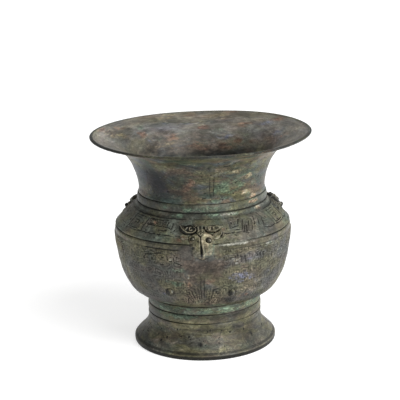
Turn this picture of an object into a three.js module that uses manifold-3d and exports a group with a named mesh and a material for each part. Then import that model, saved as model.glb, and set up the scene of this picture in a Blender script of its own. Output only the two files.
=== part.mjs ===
// A bronze zun: trumpet mouth and neck, sloping shoulder with three animal heads,
// deep belly and flared foot ring. Millimetres, +Z up, origin at the middle of the
// standing face, the front head towards -Y.
import * as THREE from 'three';
import { mergeVertices } from 'three/addons/utils/BufferGeometryUtils.js';
import Module from 'manifold-3d';

const wasm = await Module();
wasm.setup();

// ---- driving dimensions -----------------------------------------------------
const SEGMENTS = 48;            // facets round every turned wall
const GAP = 0.3;                // clearance between pieces that touch
const HEIGHT = 250;             // standing face to lip
const LIP_R = 128.2;            // widest radius, at the lip
const NECK_JOINT_Z = 182.0;     // groove above the upper string band
const SHOULDER_JOINT_Z = 143.5; // crease between shoulder and belly
const FOOT_JOINT_Z = 58.3;      // line where the belly meets the foot
const NECK_SPIGOT_R = 71.9;     // neck spigot, outside
const SKIRT_R = 99.7;           // shoulder skirt, outside
const FOOT_SPIGOT_R = 63.3;     // belly spigot, outside
const FLOOR_TOP_Z = 58.6;       // inside floor at the middle
const FLOOR_UNDER_Z = 55.2;     // underside of the floor
const HEAD_AZIMUTHS = { front: -1, rear_right: 119.5, rear_left: -125.5 };
const HEAD_ORIGIN = [93.5, 147.6];     // radius and height of a head's own origin
const HEAD_TILT = [0.840, 0.542];      // outward normal of a head's face, in radius and height
const TENON_AT = [91.9, 156.2];        // where a tenon passes the shoulder's outer face
const TENON_DIR = [0.700, 0.714];      // shoulder's outward normal there
const TENON_R = 3.5;
const LOCK_R = 7.0;
const CHAPLET = 9;              // side of a square floor chaplet
const CHAPLET_RING = 32;        // its distance from the axis

// ---- turned profiles, radius and height --------------------------------------
const MOUTH = [
  [NECK_SPIGOT_R - 2.0, 174.0], [NECK_SPIGOT_R, 174.0], [NECK_SPIGOT_R, NECK_JOINT_Z],
  [74.0, NECK_JOINT_Z], [74.3, 183.2], [73.7, 186.2], [74.0, 193], [75.7, 201.5], [78.7, 210.5],
  [82.9, 220], [88.0, 227.6], [95.8, 234.3], [107.2, 240.6], [119.6, 245.0], [126.4, 246.7],
  [LIP_R, 247.6], [LIP_R, 249.2], [127.6, HEIGHT], [124.6, HEIGHT],
  [123.6, 249.3], [118.4, 247.9], [105.8, 243.2], [94.0, 236.8], [85.7, 229.4], [80.2, 221.2],
  [75.9, 211.4], [72.8, 202], [71.1, 193], [70.8, 186.5], [NECK_SPIGOT_R - 2.0, 183.0],
];
const SHOULDER = [
  [SKIRT_R - 2.1, 136.9], [SKIRT_R, 136.9], [SKIRT_R, SHOULDER_JOINT_Z], [102.5, SHOULDER_JOINT_Z],
  [102.3, 145.3], [99.3, 148.4], [95.0, 153], [84, 163.3], [81, 165.8], [78.6, 168], [76.6, 170.8],
  [75.0, 172.3], [75.7, 173.6], [75.9, 177], [75.2, 180.8], [74.8, NECK_JOINT_Z - GAP],
  [NECK_SPIGOT_R + GAP, NECK_JOINT_Z - GAP], [NECK_SPIGOT_R + GAP, 180.0], [73.4, 180.0], [73.4, 176.0],
  [NECK_SPIGOT_R + GAP, 176.0], [NECK_SPIGOT_R + GAP, 173.4], [73.4, 170.0], [76.6, 165.6], [82.0, 160.8],
  [92.8, 150.8], [96.4, 146.9], [SKIRT_R - 2.1, 145.0],
];
const BELLY = [
  [0, FLOOR_UNDER_Z], [FOOT_SPIGOT_R - 2.5, FLOOR_UNDER_Z], [FOOT_SPIGOT_R - 2.5, 51.8], [FOOT_SPIGOT_R, 51.8],
  [FOOT_SPIGOT_R, FOOT_JOINT_Z], [66.3, FOOT_JOINT_Z], [71.2, 60.7], [77, 63.2], [81.4, 66], [86.7, 72],
  [90.4, 78], [94.6, 87], [97.5, 96], [99.7, 105], [101.5, 117], [102.9, 129], [103.2, 135],
  [102.6, SHOULDER_JOINT_Z - GAP], [SKIRT_R + GAP, SHOULDER_JOINT_Z - GAP], [SKIRT_R + GAP, 142.0],
  [101.1, 142.0], [101.1, 138.0], [SKIRT_R + GAP, 138.0], [SKIRT_R + GAP, 131.0], [98.6, 117],
  [96.7, 105], [94.5, 96.6], [91.6, 88], [87.6, 79.6], [83.9, 73.8], [79.0, 68.2], [72.5, 64.2], [62, 61.2],
  [40, 59.3], [0, FLOOR_TOP_Z],
];
const FOOT = [
  [79.8, 0], [84.2, 0], [84.3, 4.4], [83.4, 5.7], [77.2, 12], [71.5, 18], [68.2, 24], [66.8, 30.5],
  [66.9, 36.6], [66.0, 37.5], [66.9, 38.5], [67.3, 42.5], [66.9, 46.9], [65.8, 48.1], [66.6, 49.3],
  [67.0, 53], [66.5, FOOT_JOINT_Z - GAP], [FOOT_SPIGOT_R + GAP, FOOT_JOINT_Z - GAP],
  [FOOT_SPIGOT_R + GAP, 57.0], [64.7, 57.0], [64.7, 53.0], [FOOT_SPIGOT_R + GAP, 53.0],
  [FOOT_SPIGOT_R + GAP, 30.5], [64.9, 23.5], [68.2, 17], [74.0, 10.6], [79.3, 5.4],
];
// each solder ring fills its joint's groove, as inner radius, outer radius, bottom, top
const NECK_SOLDER = [NECK_SPIGOT_R + GAP, 73.1, 176.3, 179.7];
const SHOULDER_SOLDER = [SKIRT_R + GAP, 100.8, 138.3, 141.7];
const FOOT_SOLDER = [FOOT_SPIGOT_R + GAP, 64.4, 53.3, 56.7];
// outside of the shoulder and belly, which the heads are cut to sit on
const SEAT = [
  [0, 100], [98.6 + GAP, 100], [99.7 + GAP, 105], [101.5 + GAP, 117], [102.9 + GAP, 129], [103.2 + GAP, 135],
  [102.7 + GAP, 144.0], [102.6 + GAP, 145.5], [99.3 + GAP, 148.4 + GAP], [95.0 + GAP, 153 + GAP],
  [84 + GAP, 163.3 + GAP], [81 + GAP, 165.8 + GAP], [78.6 + GAP, 168 + GAP], [76.6 + GAP, 170.8 + GAP],
  [76.4, 174], [76.4, 182], [0, 182],
];

// head outlines in the head's own plane: across, up
const FACE = [
  [-14.6, 3.0], [-15.4, -0.6], [-13.6, -9.0], [-12.2, -13.4], [-10.4, -18.0], [-7.6, -20.8], [-2.6, -22.0],
  [0.6, -23.2], [6.6, -21.6], [11.2, -19.4], [13.7, -16.2], [14.9, -11.5], [15.8, -6.0], [15.9, -1.0], [14.6, 3.2],
  [9.0, 7.6], [0, 9.8], [-9.0, 7.6],
];
const LEFT_HORN = [
  [-23.7, 15.6], [-22.4, 9.0], [-19.8, 5.9], [-15.6, 4.1], [-10.7, 4.2], [-6.6, 5.9], [-3.0, 9.4], [-5.4, 13.4],
  [-12.4, 15.9], [-18.0, 15.2],
];
const RIGHT_HORN = [
  [25.6, 14.6], [19.6, 15.9], [10.0, 15.4], [5.0, 14.6], [3.0, 11.0], [5.0, 7.6], [8.2, 6.0], [12.0, 5.7],
  [16.6, 6.4], [20.8, 8.4], [24.0, 11.4],
];
const LEFT_EAR = [[-13.6, 3.0], [-17.4, 4.2], [-22.6, 4.6], [-22.4, 1.6], [-20.6, -1.6], [-18.2, -2.8], [-13.6, -2.2]];
const RIGHT_EAR = [[13.6, 3.6], [13.6, -2.6], [15.4, -2.6], [20.4, -0.4], [23.2, 1.8], [24.9, 4.6], [24.8, 7.6], [20.6, 6.6]];
const NOSE = [[-0.2, 2.0], [0.6, -12.0], [0.9, -22.6], [4.2, -22.0], [3.7, -12.0], [2.6, 2.0]];
const SLOT = [[-1.0, -8.0], [0.5, -8.0], [1.5, -15.0], [1.5, -20.6], [-0.8, -20.6], [-1.3, -15.0]];
// side view down the middle of the face: up, out
const FACE_SIDE = [
  [-24.0, -1.0], [-22.6, 2.0], [-21.0, 4.8], [-18.5, 7.4], [-15.0, 9.4], [-10.0, 10.8], [-4.0, 11.2], [2.0, 10.6],
  [6.0, 9.4], [10.0, 7.6],
];
const FACE_FALL = 0.30;         // how fast each cheek falls away from the nose
const NOSE_RISE = 2.2;
const SLOT_DEPTH = 3.0;
const HORN_THICK = 5.0;
const EAR_THICK = 3.2;
const EYES = [[-9.3, -1.1], [9.2, -2.6]];
const EYE_R = 2.5;
const EYE_OUT = 9.4;

// ---- solids ------------------------------------------------------------------
function solid(geometry) {
  const g = geometry.clone();
  g.deleteAttribute('normal');
  g.deleteAttribute('uv');
  const m = mergeVertices(g, 1e-4);
  const p = m.attributes.position.array;
  const source = m.index.array;
  const tris = [];
  let volume = 0;
  for (let i = 0; i < source.length; i += 3) {
    const [a, b, c] = [source[i], source[i + 1], source[i + 2]];
    if (a === b || b === c || c === a) continue;
    tris.push(a, b, c);
    const [ax, ay, az] = [p[3 * a], p[3 * a + 1], p[3 * a + 2]];
    const [bx, by, bz] = [p[3 * b], p[3 * b + 1], p[3 * b + 2]];
    const [cx, cy, cz] = [p[3 * c], p[3 * c + 1], p[3 * c + 2]];
    volume += ax * (by * cz - bz * cy) + ay * (bz * cx - bx * cz) + az * (bx * cy - by * cx);
  }
  if (volume < 0) {
    for (let i = 0; i < tris.length; i += 3) [tris[i + 1], tris[i + 2]] = [tris[i + 2], tris[i + 1]];
  }
  return new wasm.Manifold(new wasm.Mesh({
    numProp: 3, vertProperties: new Float32Array(p), triVerts: new Uint32Array(tris),
  }));
}

function geometryOf(manifold) {
  const m = manifold.getMesh();
  const g = new THREE.BufferGeometry();
  const p = new Float32Array(m.numVert * 3);
  for (let i = 0; i < m.numVert; i++) {
    for (let k = 0; k < 3; k++) p[3 * i + k] = m.vertProperties[i * m.numProp + k];
  }
  g.setAttribute('position', new THREE.BufferAttribute(p, 3));
  g.setIndex(new THREE.BufferAttribute(new Uint32Array(m.triVerts), 1));
  g.computeVertexNormals();
  return g;
}

// turn a profile about Z; one that leaves the axis closes on itself
function turned(profile) {
  const points = profile.map(([r, z]) => new THREE.Vector2(r, z));
  if (profile[0][0] > 0) points.push(points[0].clone());
  const g = new THREE.LatheGeometry(points, SEGMENTS);
  g.rotateX(Math.PI / 2);
  return solid(g);
}

function ring([inner, outer, low, high]) {
  return turned([[inner, low], [outer, low], [outer, high], [inner, high]]);
}

function slab(outline, low, high, bevel) {
  const shape = new THREE.Shape(outline.map(([x, y]) => new THREE.Vector2(x, y)));
  const g = new THREE.ExtrudeGeometry(shape, {
    depth: high - low - bevel, bevelEnabled: bevel > 0, bevelThickness: bevel, bevelSize: bevel,
    bevelOffset: -bevel, bevelSegments: 1,
  });
  g.translate(0, 0, low);
  return solid(g);
}

// a side view swept across the face, from low up to its line moved out by rise
function swept(side, low, rise, halfWidth) {
  const line = side.map(([v, w]) => [v, w + rise]);
  const shape = new THREE.Shape([[line[0][0], low], ...line, [line[line.length - 1][0], low]]
    .map(([v, w]) => new THREE.Vector2(v, w)));
  const g = new THREE.ExtrudeGeometry(shape, { depth: 2 * halfWidth, bevelEnabled: false });
  g.translate(0, 0, -halfWidth);
  g.applyMatrix4(new THREE.Matrix4().makeBasis(
    new THREE.Vector3(0, 1, 0), new THREE.Vector3(0, 0, 1), new THREE.Vector3(1, 0, 0)));
  return solid(g);
}

// the two planes that fall away from the middle of the face
function gable(top, fall, halfWidth, low) {
  const shape = new THREE.Shape([[-halfWidth, low], [halfWidth, low], [halfWidth, top - fall * halfWidth], [0, top],
    [-halfWidth, top - fall * halfWidth]].map(([u, w]) => new THREE.Vector2(u, w)));
  const g = new THREE.ExtrudeGeometry(shape, { depth: 60, bevelEnabled: false });
  g.rotateX(Math.PI / 2);
  g.translate(0, 30, 0);
  return solid(g);
}

// a head's own frame: across, up its face, out of its face
function headFrame(azimuth) {
  const a = THREE.MathUtils.degToRad(azimuth);
  const radial = new THREE.Vector3(Math.sin(a), -Math.cos(a), 0);
  const across = new THREE.Vector3(Math.cos(a), Math.sin(a), 0);
  const up = radial.clone().multiplyScalar(-HEAD_TILT[1]).setZ(HEAD_TILT[0]);
  const out = radial.clone().multiplyScalar(HEAD_TILT[0]).setZ(HEAD_TILT[1]);
  const origin = radial.clone().multiplyScalar(HEAD_ORIGIN[0]).setZ(HEAD_ORIGIN[1]);
  return new THREE.Matrix4().makeBasis(across, up, out).setPosition(origin);
}

// a round bar along a tenon's line, from and to being distances outside the shoulder's face
function tenonBar(azimuth, radius, from, to, sides) {
  const a = THREE.MathUtils.degToRad(azimuth);
  const radial = new THREE.Vector3(Math.sin(a), -Math.cos(a), 0);
  const along = radial.clone().multiplyScalar(TENON_DIR[0]).setZ(TENON_DIR[1]).normalize();
  const start = radial.clone().multiplyScalar(TENON_AT[0]).setZ(TENON_AT[1]);
  const g = new THREE.CylinderGeometry(radius, radius, to - from, sides);
  g.applyQuaternion(new THREE.Quaternion().setFromUnitVectors(new THREE.Vector3(0, 1, 0), along));
  const mid = start.addScaledVector(along, (from + to) / 2);
  g.translate(mid.x, mid.y, mid.z);
  return solid(g);
}

function faceBody() {
  const low = -12;
  let face = slab(FACE, low, 16, 0).intersect(swept(FACE_SIDE, low, 0, 20)).intersect(gable(11.4, FACE_FALL, 20, low - 1));
  face = face.add(slab(NOSE, low, 16, 0).intersect(swept(FACE_SIDE, low, NOSE_RISE, 20)));
  const deep = swept(FACE_SIDE, low - 1, -SLOT_DEPTH, 21);
  face = face.subtract(slab(SLOT, low, 18, 0).subtract(deep));
  for (const [u, v] of EYES) {
    const eye = new THREE.SphereGeometry(EYE_R, 12, 8);
    eye.rotateX(Math.PI / 2);
    eye.translate(u, v, EYE_OUT);
    face = face.add(solid(eye));
  }
  return face;
}

// the seat moved out by d, which trims what lies along the shoulder to an even thickness
function seatPlus(d) {
  return turned(SEAT.map(([r, z]) => {
    if (r === 0) return [r, z];
    return z < 146 ? [r + d, z] : [r + 0.7 * d, z + 0.714 * d];
  }));
}

const seat = turned(SEAT);
const faceForm = faceBody();
const hornForm = slab(LEFT_HORN, -12, 14, 0).add(slab(RIGHT_HORN, -12, 14, 0));
const earForm = slab(LEFT_EAR, -12, 14, 0).add(slab(RIGHT_EAR, -12, 14, 0));
const hornCover = seatPlus(HORN_THICK);
const earCover = seatPlus(EAR_THICK);
const mouth = turned(MOUTH);
let shoulder = turned(SHOULDER);
let belly = turned(BELLY);
const foot = turned(FOOT);

const heads = {};
const locks = {};
for (const [place, azimuth] of Object.entries(HEAD_AZIMUTHS)) {
  const at = headFrame(azimuth).elements;
  const body = faceForm.transform(at)
    .add(hornForm.transform(at).intersect(hornCover))
    .add(earForm.transform(at).intersect(earCover))
    .subtract(seat);
  heads[place] = body.add(tenonBar(azimuth, TENON_R, -8.2, 3.4, 12));
  shoulder = shoulder.subtract(tenonBar(azimuth, TENON_R + GAP, -10, 6, 12));
  locks[place] = tenonBar(azimuth, LOCK_R, -7.2, -4.1, 16)
    .subtract(tenonBar(azimuth, TENON_R + GAP, -10, 6, 12));
}

const chaplets = [];
for (let i = 0; i < 4; i++) {
  const a = Math.PI / 4 + i * Math.PI / 2;
  const at = [CHAPLET_RING * Math.cos(a), CHAPLET_RING * Math.sin(a)];
  const block = (side, height) => {
    const g = new THREE.BoxGeometry(side, side, height);
    g.rotateZ(a);
    g.translate(at[0], at[1], (FLOOR_TOP_Z + FLOOR_UNDER_Z) / 2);
    return solid(g);
  };
  chaplets.push(belly.intersect(block(CHAPLET, 12)));
  belly = belly.subtract(block(CHAPLET + 2 * GAP, 12));
}

// ---- the vessel ----------------------------------------------------------------
const bronze = (color, roughness) => new THREE.MeshStandardMaterial({ color, roughness, metalness: 0.55 });
const group = new THREE.Group();
function place(name, manifold, material) {
  const mesh = new THREE.Mesh(geometryOf(manifold), material);
  mesh.name = name;
  group.add(mesh);
}

place('mouth_and_neck', mouth, bronze(0x5d5a4e, 0.55));
place('shoulder', shoulder, bronze(0x5a5645, 0.6));
place('belly_bowl', belly, bronze(0x5b5244, 0.65));
place('foot_ring', foot, bronze(0x565140, 0.55));
place('neck_joint_solder', ring(NECK_SOLDER), new THREE.MeshStandardMaterial({ color: 0x7d7f80, roughness: 0.6, metalness: 0.6 }));
place('shoulder_joint_solder', ring(SHOULDER_SOLDER), new THREE.MeshStandardMaterial({ color: 0x7d7f80, roughness: 0.6, metalness: 0.6 }));
place('foot_joint_solder', ring(FOOT_SOLDER), new THREE.MeshStandardMaterial({ color: 0x7d7f80, roughness: 0.6, metalness: 0.6 }));
for (const side of Object.keys(HEAD_AZIMUTHS)) {
  place(`head_${side}`, heads[side], bronze(0x5c5847, 0.6));
  place(`head_lock_${side}`, locks[side], bronze(0x4c4538, 0.7));
}
chaplets.forEach((c, i) => place(`floor_chaplet_${i + 1}`, c, bronze(0x6a5a40, 0.65)));

export default group;
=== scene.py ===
"""Looks of a wide-mouthed bronze zun: cast relief, set-on animal heads, patina, studio light and camera."""
import math

import bpy
import numpy as np
from mathutils import Matrix, Vector


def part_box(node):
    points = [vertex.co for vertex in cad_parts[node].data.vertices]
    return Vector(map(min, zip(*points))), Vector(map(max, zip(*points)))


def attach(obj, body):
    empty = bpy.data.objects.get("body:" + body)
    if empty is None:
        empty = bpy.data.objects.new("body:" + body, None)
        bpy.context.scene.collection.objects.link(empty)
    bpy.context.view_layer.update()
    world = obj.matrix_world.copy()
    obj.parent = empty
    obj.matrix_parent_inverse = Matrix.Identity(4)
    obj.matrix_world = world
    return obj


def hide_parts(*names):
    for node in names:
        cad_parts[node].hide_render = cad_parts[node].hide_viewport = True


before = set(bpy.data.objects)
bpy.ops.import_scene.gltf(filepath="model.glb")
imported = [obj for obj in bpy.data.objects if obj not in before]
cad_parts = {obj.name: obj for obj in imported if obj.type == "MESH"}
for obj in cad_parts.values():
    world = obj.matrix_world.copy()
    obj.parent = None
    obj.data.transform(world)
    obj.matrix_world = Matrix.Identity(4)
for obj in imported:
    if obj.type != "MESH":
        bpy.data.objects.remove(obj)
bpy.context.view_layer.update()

RAD = math.pi / 180.0

# ------------------------------------------------------------------ camera
# Focal length in pixels of the 400 pixel frame, place in metres, angles in degrees.
CAM_F, CAM_PLACE = 1213.29, (0.0, -1.375, 0.53469)
CAM_PITCH, CAM_ROLL, CAM_YAW = 14.946, -1.407, -0.097


def make_camera():
    p, r, y = CAM_PITCH * RAD, CAM_ROLL * RAD, CAM_YAW * RAD
    fwd = Vector((math.sin(y) * math.cos(p), math.cos(y) * math.cos(p), -math.sin(p)))
    r0 = Vector((math.cos(y), -math.sin(y), 0.0))
    u0 = r0.cross(fwd)
    right = math.cos(r) * r0 + math.sin(r) * u0
    up = -math.sin(r) * r0 + math.cos(r) * u0
    data = bpy.data.cameras.new("photo_camera")
    data.sensor_fit = "HORIZONTAL"
    data.sensor_width = 36.0
    data.lens = CAM_F * 36.0 / 400.0
    data.clip_start, data.clip_end = 0.05, 60.0
    cam = bpy.data.objects.new("photo_camera", data)
    m = Matrix.Identity(4)
    for i in range(3):
        m[i][0], m[i][1], m[i][2], m[i][3] = right[i], up[i], -fwd[i], CAM_PLACE[i]
    cam.matrix_world = m
    bpy.context.scene.collection.objects.link(cam)
    bpy.context.scene.camera = cam


make_camera()

# ------------------------------------------------------------------ noise and small numeric tools


def _hash(ix, iy, iz, seed):
    h = (ix * 374761393 + iy * 668265263 + iz * 1440662683 + seed * 1274126177) & 0xFFFFFFFF
    h = ((h ^ (h >> 13)) * 1274126177) & 0xFFFFFFFF
    h = ((h ^ (h >> 15)) * 2246822519) & 0xFFFFFFFF
    return ((h ^ (h >> 16)) & 0xFFFF) / 65535.0


def vnoise(p, seed=0):
    """Smooth value noise from 0 to 1 at points p, one lattice step per unit."""
    i = np.floor(p).astype(np.int64)
    f = p - i
    f = f * f * f * (f * (f * 6 - 15) + 10)
    out = 0.0
    for dx in (0, 1):
        wx = f[..., 0] if dx else 1 - f[..., 0]
        for dy in (0, 1):
            wy = f[..., 1] if dy else 1 - f[..., 1]
            for dz in (0, 1):
                wz = f[..., 2] if dz else 1 - f[..., 2]
                out = out + wx * wy * wz * _hash(i[..., 0] + dx, i[..., 1] + dy, i[..., 2] + dz, seed)
    return out


def fbm(p, size, octaves=4, seed=0, gain=0.5):
    """Layered noise, about 0.5 on average; size is the largest feature in the units of p."""
    q, amp, total, norm = np.asarray(p, float) / size, 1.0, 0.0, 0.0
    for k in range(octaves):
        total = total + amp * vnoise(q + 17.3 * k, seed + 31 * k)
        norm += amp
        amp *= gain
        q = q * 2.03
    return total / norm


def step(x, lo, hi):
    t = np.clip((x - lo) / (hi - lo), 0, 1)
    return t * t * (3 - 2 * t)


def blur(a, sigma, axis, wrap):
    """Gaussian blur along one axis, in samples."""
    n = max(1, int(math.ceil(sigma * 3)))
    k = np.exp(-0.5 * (np.arange(-n, n + 1) / sigma) ** 2)
    k /= k.sum()
    pad = [(0, 0)] * a.ndim
    pad[axis] = (n, n)
    b = np.pad(a, pad, mode="wrap" if wrap else "edge")
    out = np.zeros_like(a)
    for i, w in enumerate(k):
        sl = [slice(None)] * a.ndim
        sl[axis] = slice(i, i + a.shape[axis])
        out += w * b[tuple(sl)]
    return out


def spline(points, closed=False, per=8):
    """A smooth line through the points."""
    pts = np.array(points, float)
    n = len(pts)
    out = []
    for i in range(n if closed else n - 1):
        if closed:
            p0, p1, p2, p3 = pts[(i - 1) % n], pts[i], pts[(i + 1) % n], pts[(i + 2) % n]
        else:
            p0, p1, p2, p3 = pts[max(i - 1, 0)], pts[i], pts[i + 1], pts[min(i + 2, n - 1)]
        for t in np.arange(per) / per:
            out.append(0.5 * (2 * p1 + (p2 - p0) * t + (2 * p0 - 5 * p1 + 4 * p2 - p3) * t * t + (3 * p1 - p0 - 3 * p2 + p3) * t ** 3))
    if not closed:
        out.append(pts[-1])
    return np.array(out)


def line_dist(x, y, pts):
    """Distance of each (x, y) from a polyline."""
    best = np.full(x.shape, 1e9)
    for (ax, ay), (bx, by) in zip(pts[:-1], pts[1:]):
        dx, dy = bx - ax, by - ay
        l2 = dx * dx + dy * dy
        t = np.clip(((x - ax) * dx + (y - ay) * dy) / l2, 0, 1) if l2 > 1e-12 else 0.0
        best = np.minimum(best, np.hypot(x - ax - t * dx, y - ay - t * dy))
    return best


def inside_dist(x, y, poly):
    """Signed distance from a closed outline, positive inside."""
    pts = np.vstack([poly, poly[:1]])
    d = line_dist(x, y, pts)
    inside = np.zeros(x.shape, bool)
    for (ax, ay), (bx, by) in zip(pts[:-1], pts[1:]):
        cross = ((ay > y) != (by > y)) & (x < (bx - ax) * (y - ay) / ((by - ay) if by != ay else 1e-12) + ax)
        inside ^= cross
    return np.where(inside, d, -d)


def spiral(cx, cy, r0, r1, turns, start=0.0, n=40):
    t = np.linspace(0, 1, n)
    a = start + turns * 2 * math.pi * t
    r = r0 + (r1 - r0) * t
    return np.stack([cx + r * np.cos(a), cy + r * np.sin(a)], -1)


# ------------------------------------------------------------------ profiles, in millimetres
# Outside of the vessel from the standing lip to the rim.
OUT = np.array([
    (84.2, 0), (84.3, 4.4), (83.4, 5.7), (80.5, 8.8), (77.2, 12), (74.1, 15), (71.5, 18), (69.6, 21), (68.2, 24), (67.3, 27),
    (66.8, 30.5), (67.1, 34), (66.9, 36.6), (66.0, 37.5), (66.9, 38.5), (67.3, 42.5), (66.9, 46.9), (65.8, 48.1), (66.6, 49.3),
    (67.0, 53), (66.6, 57), (66.2, 58.15), (66.3, 58.4), (71.2, 60.7), (77, 63.2), (81.4, 66), (84.4, 69), (86.7, 72), (88.6, 75), (90.4, 78),
    (92.0, 81), (93.4, 84), (94.6, 87), (95.7, 90), (96.7, 93), (97.5, 96), (98.2, 99), (99, 102), (99.7, 105), (100.2, 108),
    (100.6, 111), (101.1, 114), (101.5, 117), (101.9, 120), (102.3, 123), (102.6, 126), (102.9, 129), (103.1, 132), (103.2, 135),
    (103.0, 138), (102.9, 140.6), (102.5, 142.0), (101.5, 143.1), (101.0, 143.4), (101.3, 144.0), (102.1, 144.9), (102.2, 145.6), (100.9, 146.9), (99.3, 148.4), (97.7, 150.2),
    (95.0, 153), (91.9, 156.2), (84, 163.3), (81, 165.8), (78.6, 168), (76.6, 170.8), (75.0, 172.3), (75.7, 173.6), (75.9, 177),
    (75.2, 180.8), (74.2, 181.7), (74.0, 182.0), (74.3, 183.2), (73.8, 185.2), (73.6, 187.5), (73.7, 190), (74.0, 193), (74.7, 197),
    (75.7, 201.5), (77.0, 206), (78.7, 210.5), (80.6, 215.5), (82.9, 220), (85.4, 224), (88.0, 227.6), (91.4, 231), (95.8, 234.3),
    (101.2, 237.6), (107.2, 240.6), (113.8, 243.2), (120.3, 245.4), (125.2, 246.9), (126.9, 247.3), (127.9, 248.2), (128.2, 249.3), (127.7, 250)])


def radius_at(z):
    return np.interp(z, OUT[:, 1], OUT[:, 0])


def fine(points, gap, smooth=True):
    """The profile resampled at an even spacing; smooth runs follow a spline, and short steps keep their corners."""
    pts = spline(points, per=10) if smooth else np.array(points, float)
    s = np.concatenate([[0], np.cumsum(np.hypot(*np.diff(pts, axis=0).T))])
    n = max(2, int(round(s[-1] / gap)) + 1)
    t = np.linspace(0, s[-1], n)
    return np.stack([np.interp(t, s, pts[:, 0]), np.interp(t, s, pts[:, 1])], -1)


def part_of_out(z0, z1):
    pick = OUT[(OUT[:, 1] > z0 + 1e-6) & (OUT[:, 1] < z1 - 1e-6)]
    return np.vstack([[radius_at(z0), z0], pick, [radius_at(z1), z1]])


HEADS = (("front", -1.0), ("rear_right", 119.5), ("rear_left", -125.5))


def from_head(az):
    """Signed angle from the nearest head, scaled so that each half panel is 60 degrees wide, and that head's number."""
    c = np.array([h[1] for h in HEADS])
    d = (az[..., None] - c + 180.0) % 360.0 - 180.0
    k = np.abs(d).argmin(-1)
    gap = {}
    for i, a in enumerate(c):
        right = min((b - a) % 360.0 for b in c if b != a)
        left = min((a - b) % 360.0 for b in c if b != a)
        gap[i] = (left / 2, right / 2)
    near = np.take_along_axis(d, k[..., None], -1)[..., 0]
    lefts = np.array([gap[i][0] for i in range(3)])[k]
    rights = np.array([gap[i][1] for i in range(3)])[k]
    return np.where(near < 0, near / lefts, near / rights) * 60.0, k


# ------------------------------------------------------------------ relief ornament


def thread(x, y, cell, width, turned=False):
    """Square meander spirals that fill the ground: 1 on the thread, 0 between. Turned ones face all ways."""
    ix, iy = np.floor(x / cell), np.floor(y / cell)
    cx, cy = x / cell - ix, y / cell - iy
    if turned:
        pick = (ix * 3 + iy * 5 + (ix * iy) % 3) % 4
        cx, cy = np.where(pick > 1.5, cy, cx), np.where(pick > 1.5, cx, cy)
        cx = np.where((pick > 0.5) & (pick < 2.5), 1 - cx, cx)
    odd = (ix + iy) % 2 > 0.5
    cx = np.where(odd, 1 - cx, cx)
    cy = np.where(odd, 1 - cy, cy)
    path = [(0.06, 0.10), (0.90, 0.10), (0.90, 0.90), (0.14, 0.90), (0.14, 0.34), (0.64, 0.34), (0.64, 0.66), (0.40, 0.66)]
    d = line_dist(cx, cy, path) * cell
    return 1 - step(d, width * 0.5 - 0.12, width * 0.5 + 0.22)


def draw(h, x, y, strokes, soft=0.28):
    """Adds strokes to a height field. Each is (width, height, points): above 0 stands up, below 0 is cut in."""
    for width, height, pts in strokes:
        pts = np.array(pts, float)
        lo, hi = pts.min(0) - width - 1, pts.max(0) + width + 1
        near = (x > lo[0]) & (x < hi[0]) & (y > lo[1]) & (y < hi[1])
        if not near.any():
            continue
        m = 1 - step(line_dist(x[near], y[near], pts), width * 0.5 - soft, width * 0.5 + soft)
        if height > 0:
            h[near] = np.maximum(h[near], height * m + h[near] * (1 - m))
        else:
            h[near] = np.minimum(h[near], h[near] * (1 - m) + (h[near] * 0.25 + height) * m)
    return h


# length down the shoulder's slope for a height z
_sl = fine(part_of_out(144.0, 174.0), 0.2)
_sl_s = np.concatenate([[0], np.cumsum(np.hypot(*np.diff(_sl, axis=0).T))])


def slope(z):
    return np.interp(z, np.maximum.accumulate(_sl[:, 1]), _sl_s)


def sh(points):
    """Shoulder stroke points from (degrees from the head, height) to millimetres on the slope."""
    p = np.array(points, float)
    return np.stack([p[:, 0] * RAD * 91.0, slope(p[:, 1])], -1)


# what is left of the rubbed ornament on the front's right: degrees from the head, height
FRONT_STROKES = (
    [(29.0, 164.1), (27.4, 159.9)], [(32.3, 162.9), (29.0, 155.0)], [(31.8, 157.8), (30.0, 153.0)], [(33.6, 158.0), (31.9, 152.6)], [(36.9, 160.8), (35.3, 157.6)], [(43.1, 163.5), (41.3, 157.3)],
    [(38.3, 156.9), (36.7, 153.2)], [(46.4, 160.8), (44.6, 156.4)], [(50.3, 160.2), (47.9, 154.1)], [(47.5, 152.5), (52.0, 151.2), (58.7, 151.7)], [(50.0, 165.3), (50.8, 162.3), (51.6, 159.2)], [(28.9, 152.7), (32.8, 151.2)])


def shoulder_ring(az):
    """Height and strength of the line under the shoulder's ornament, which is uneven round the front."""
    zz = 151.6 + 1.6 * step(az, -8, 14) * (1 - step(az, 28, 42))
    return zz, 1.0 - 0.65 * step(az, 26, 34) * (1 - step(az, 62, 80)) - 0.7 * step(-az, 58, 64) * (1 - step(-az, 85, 100))


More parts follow.
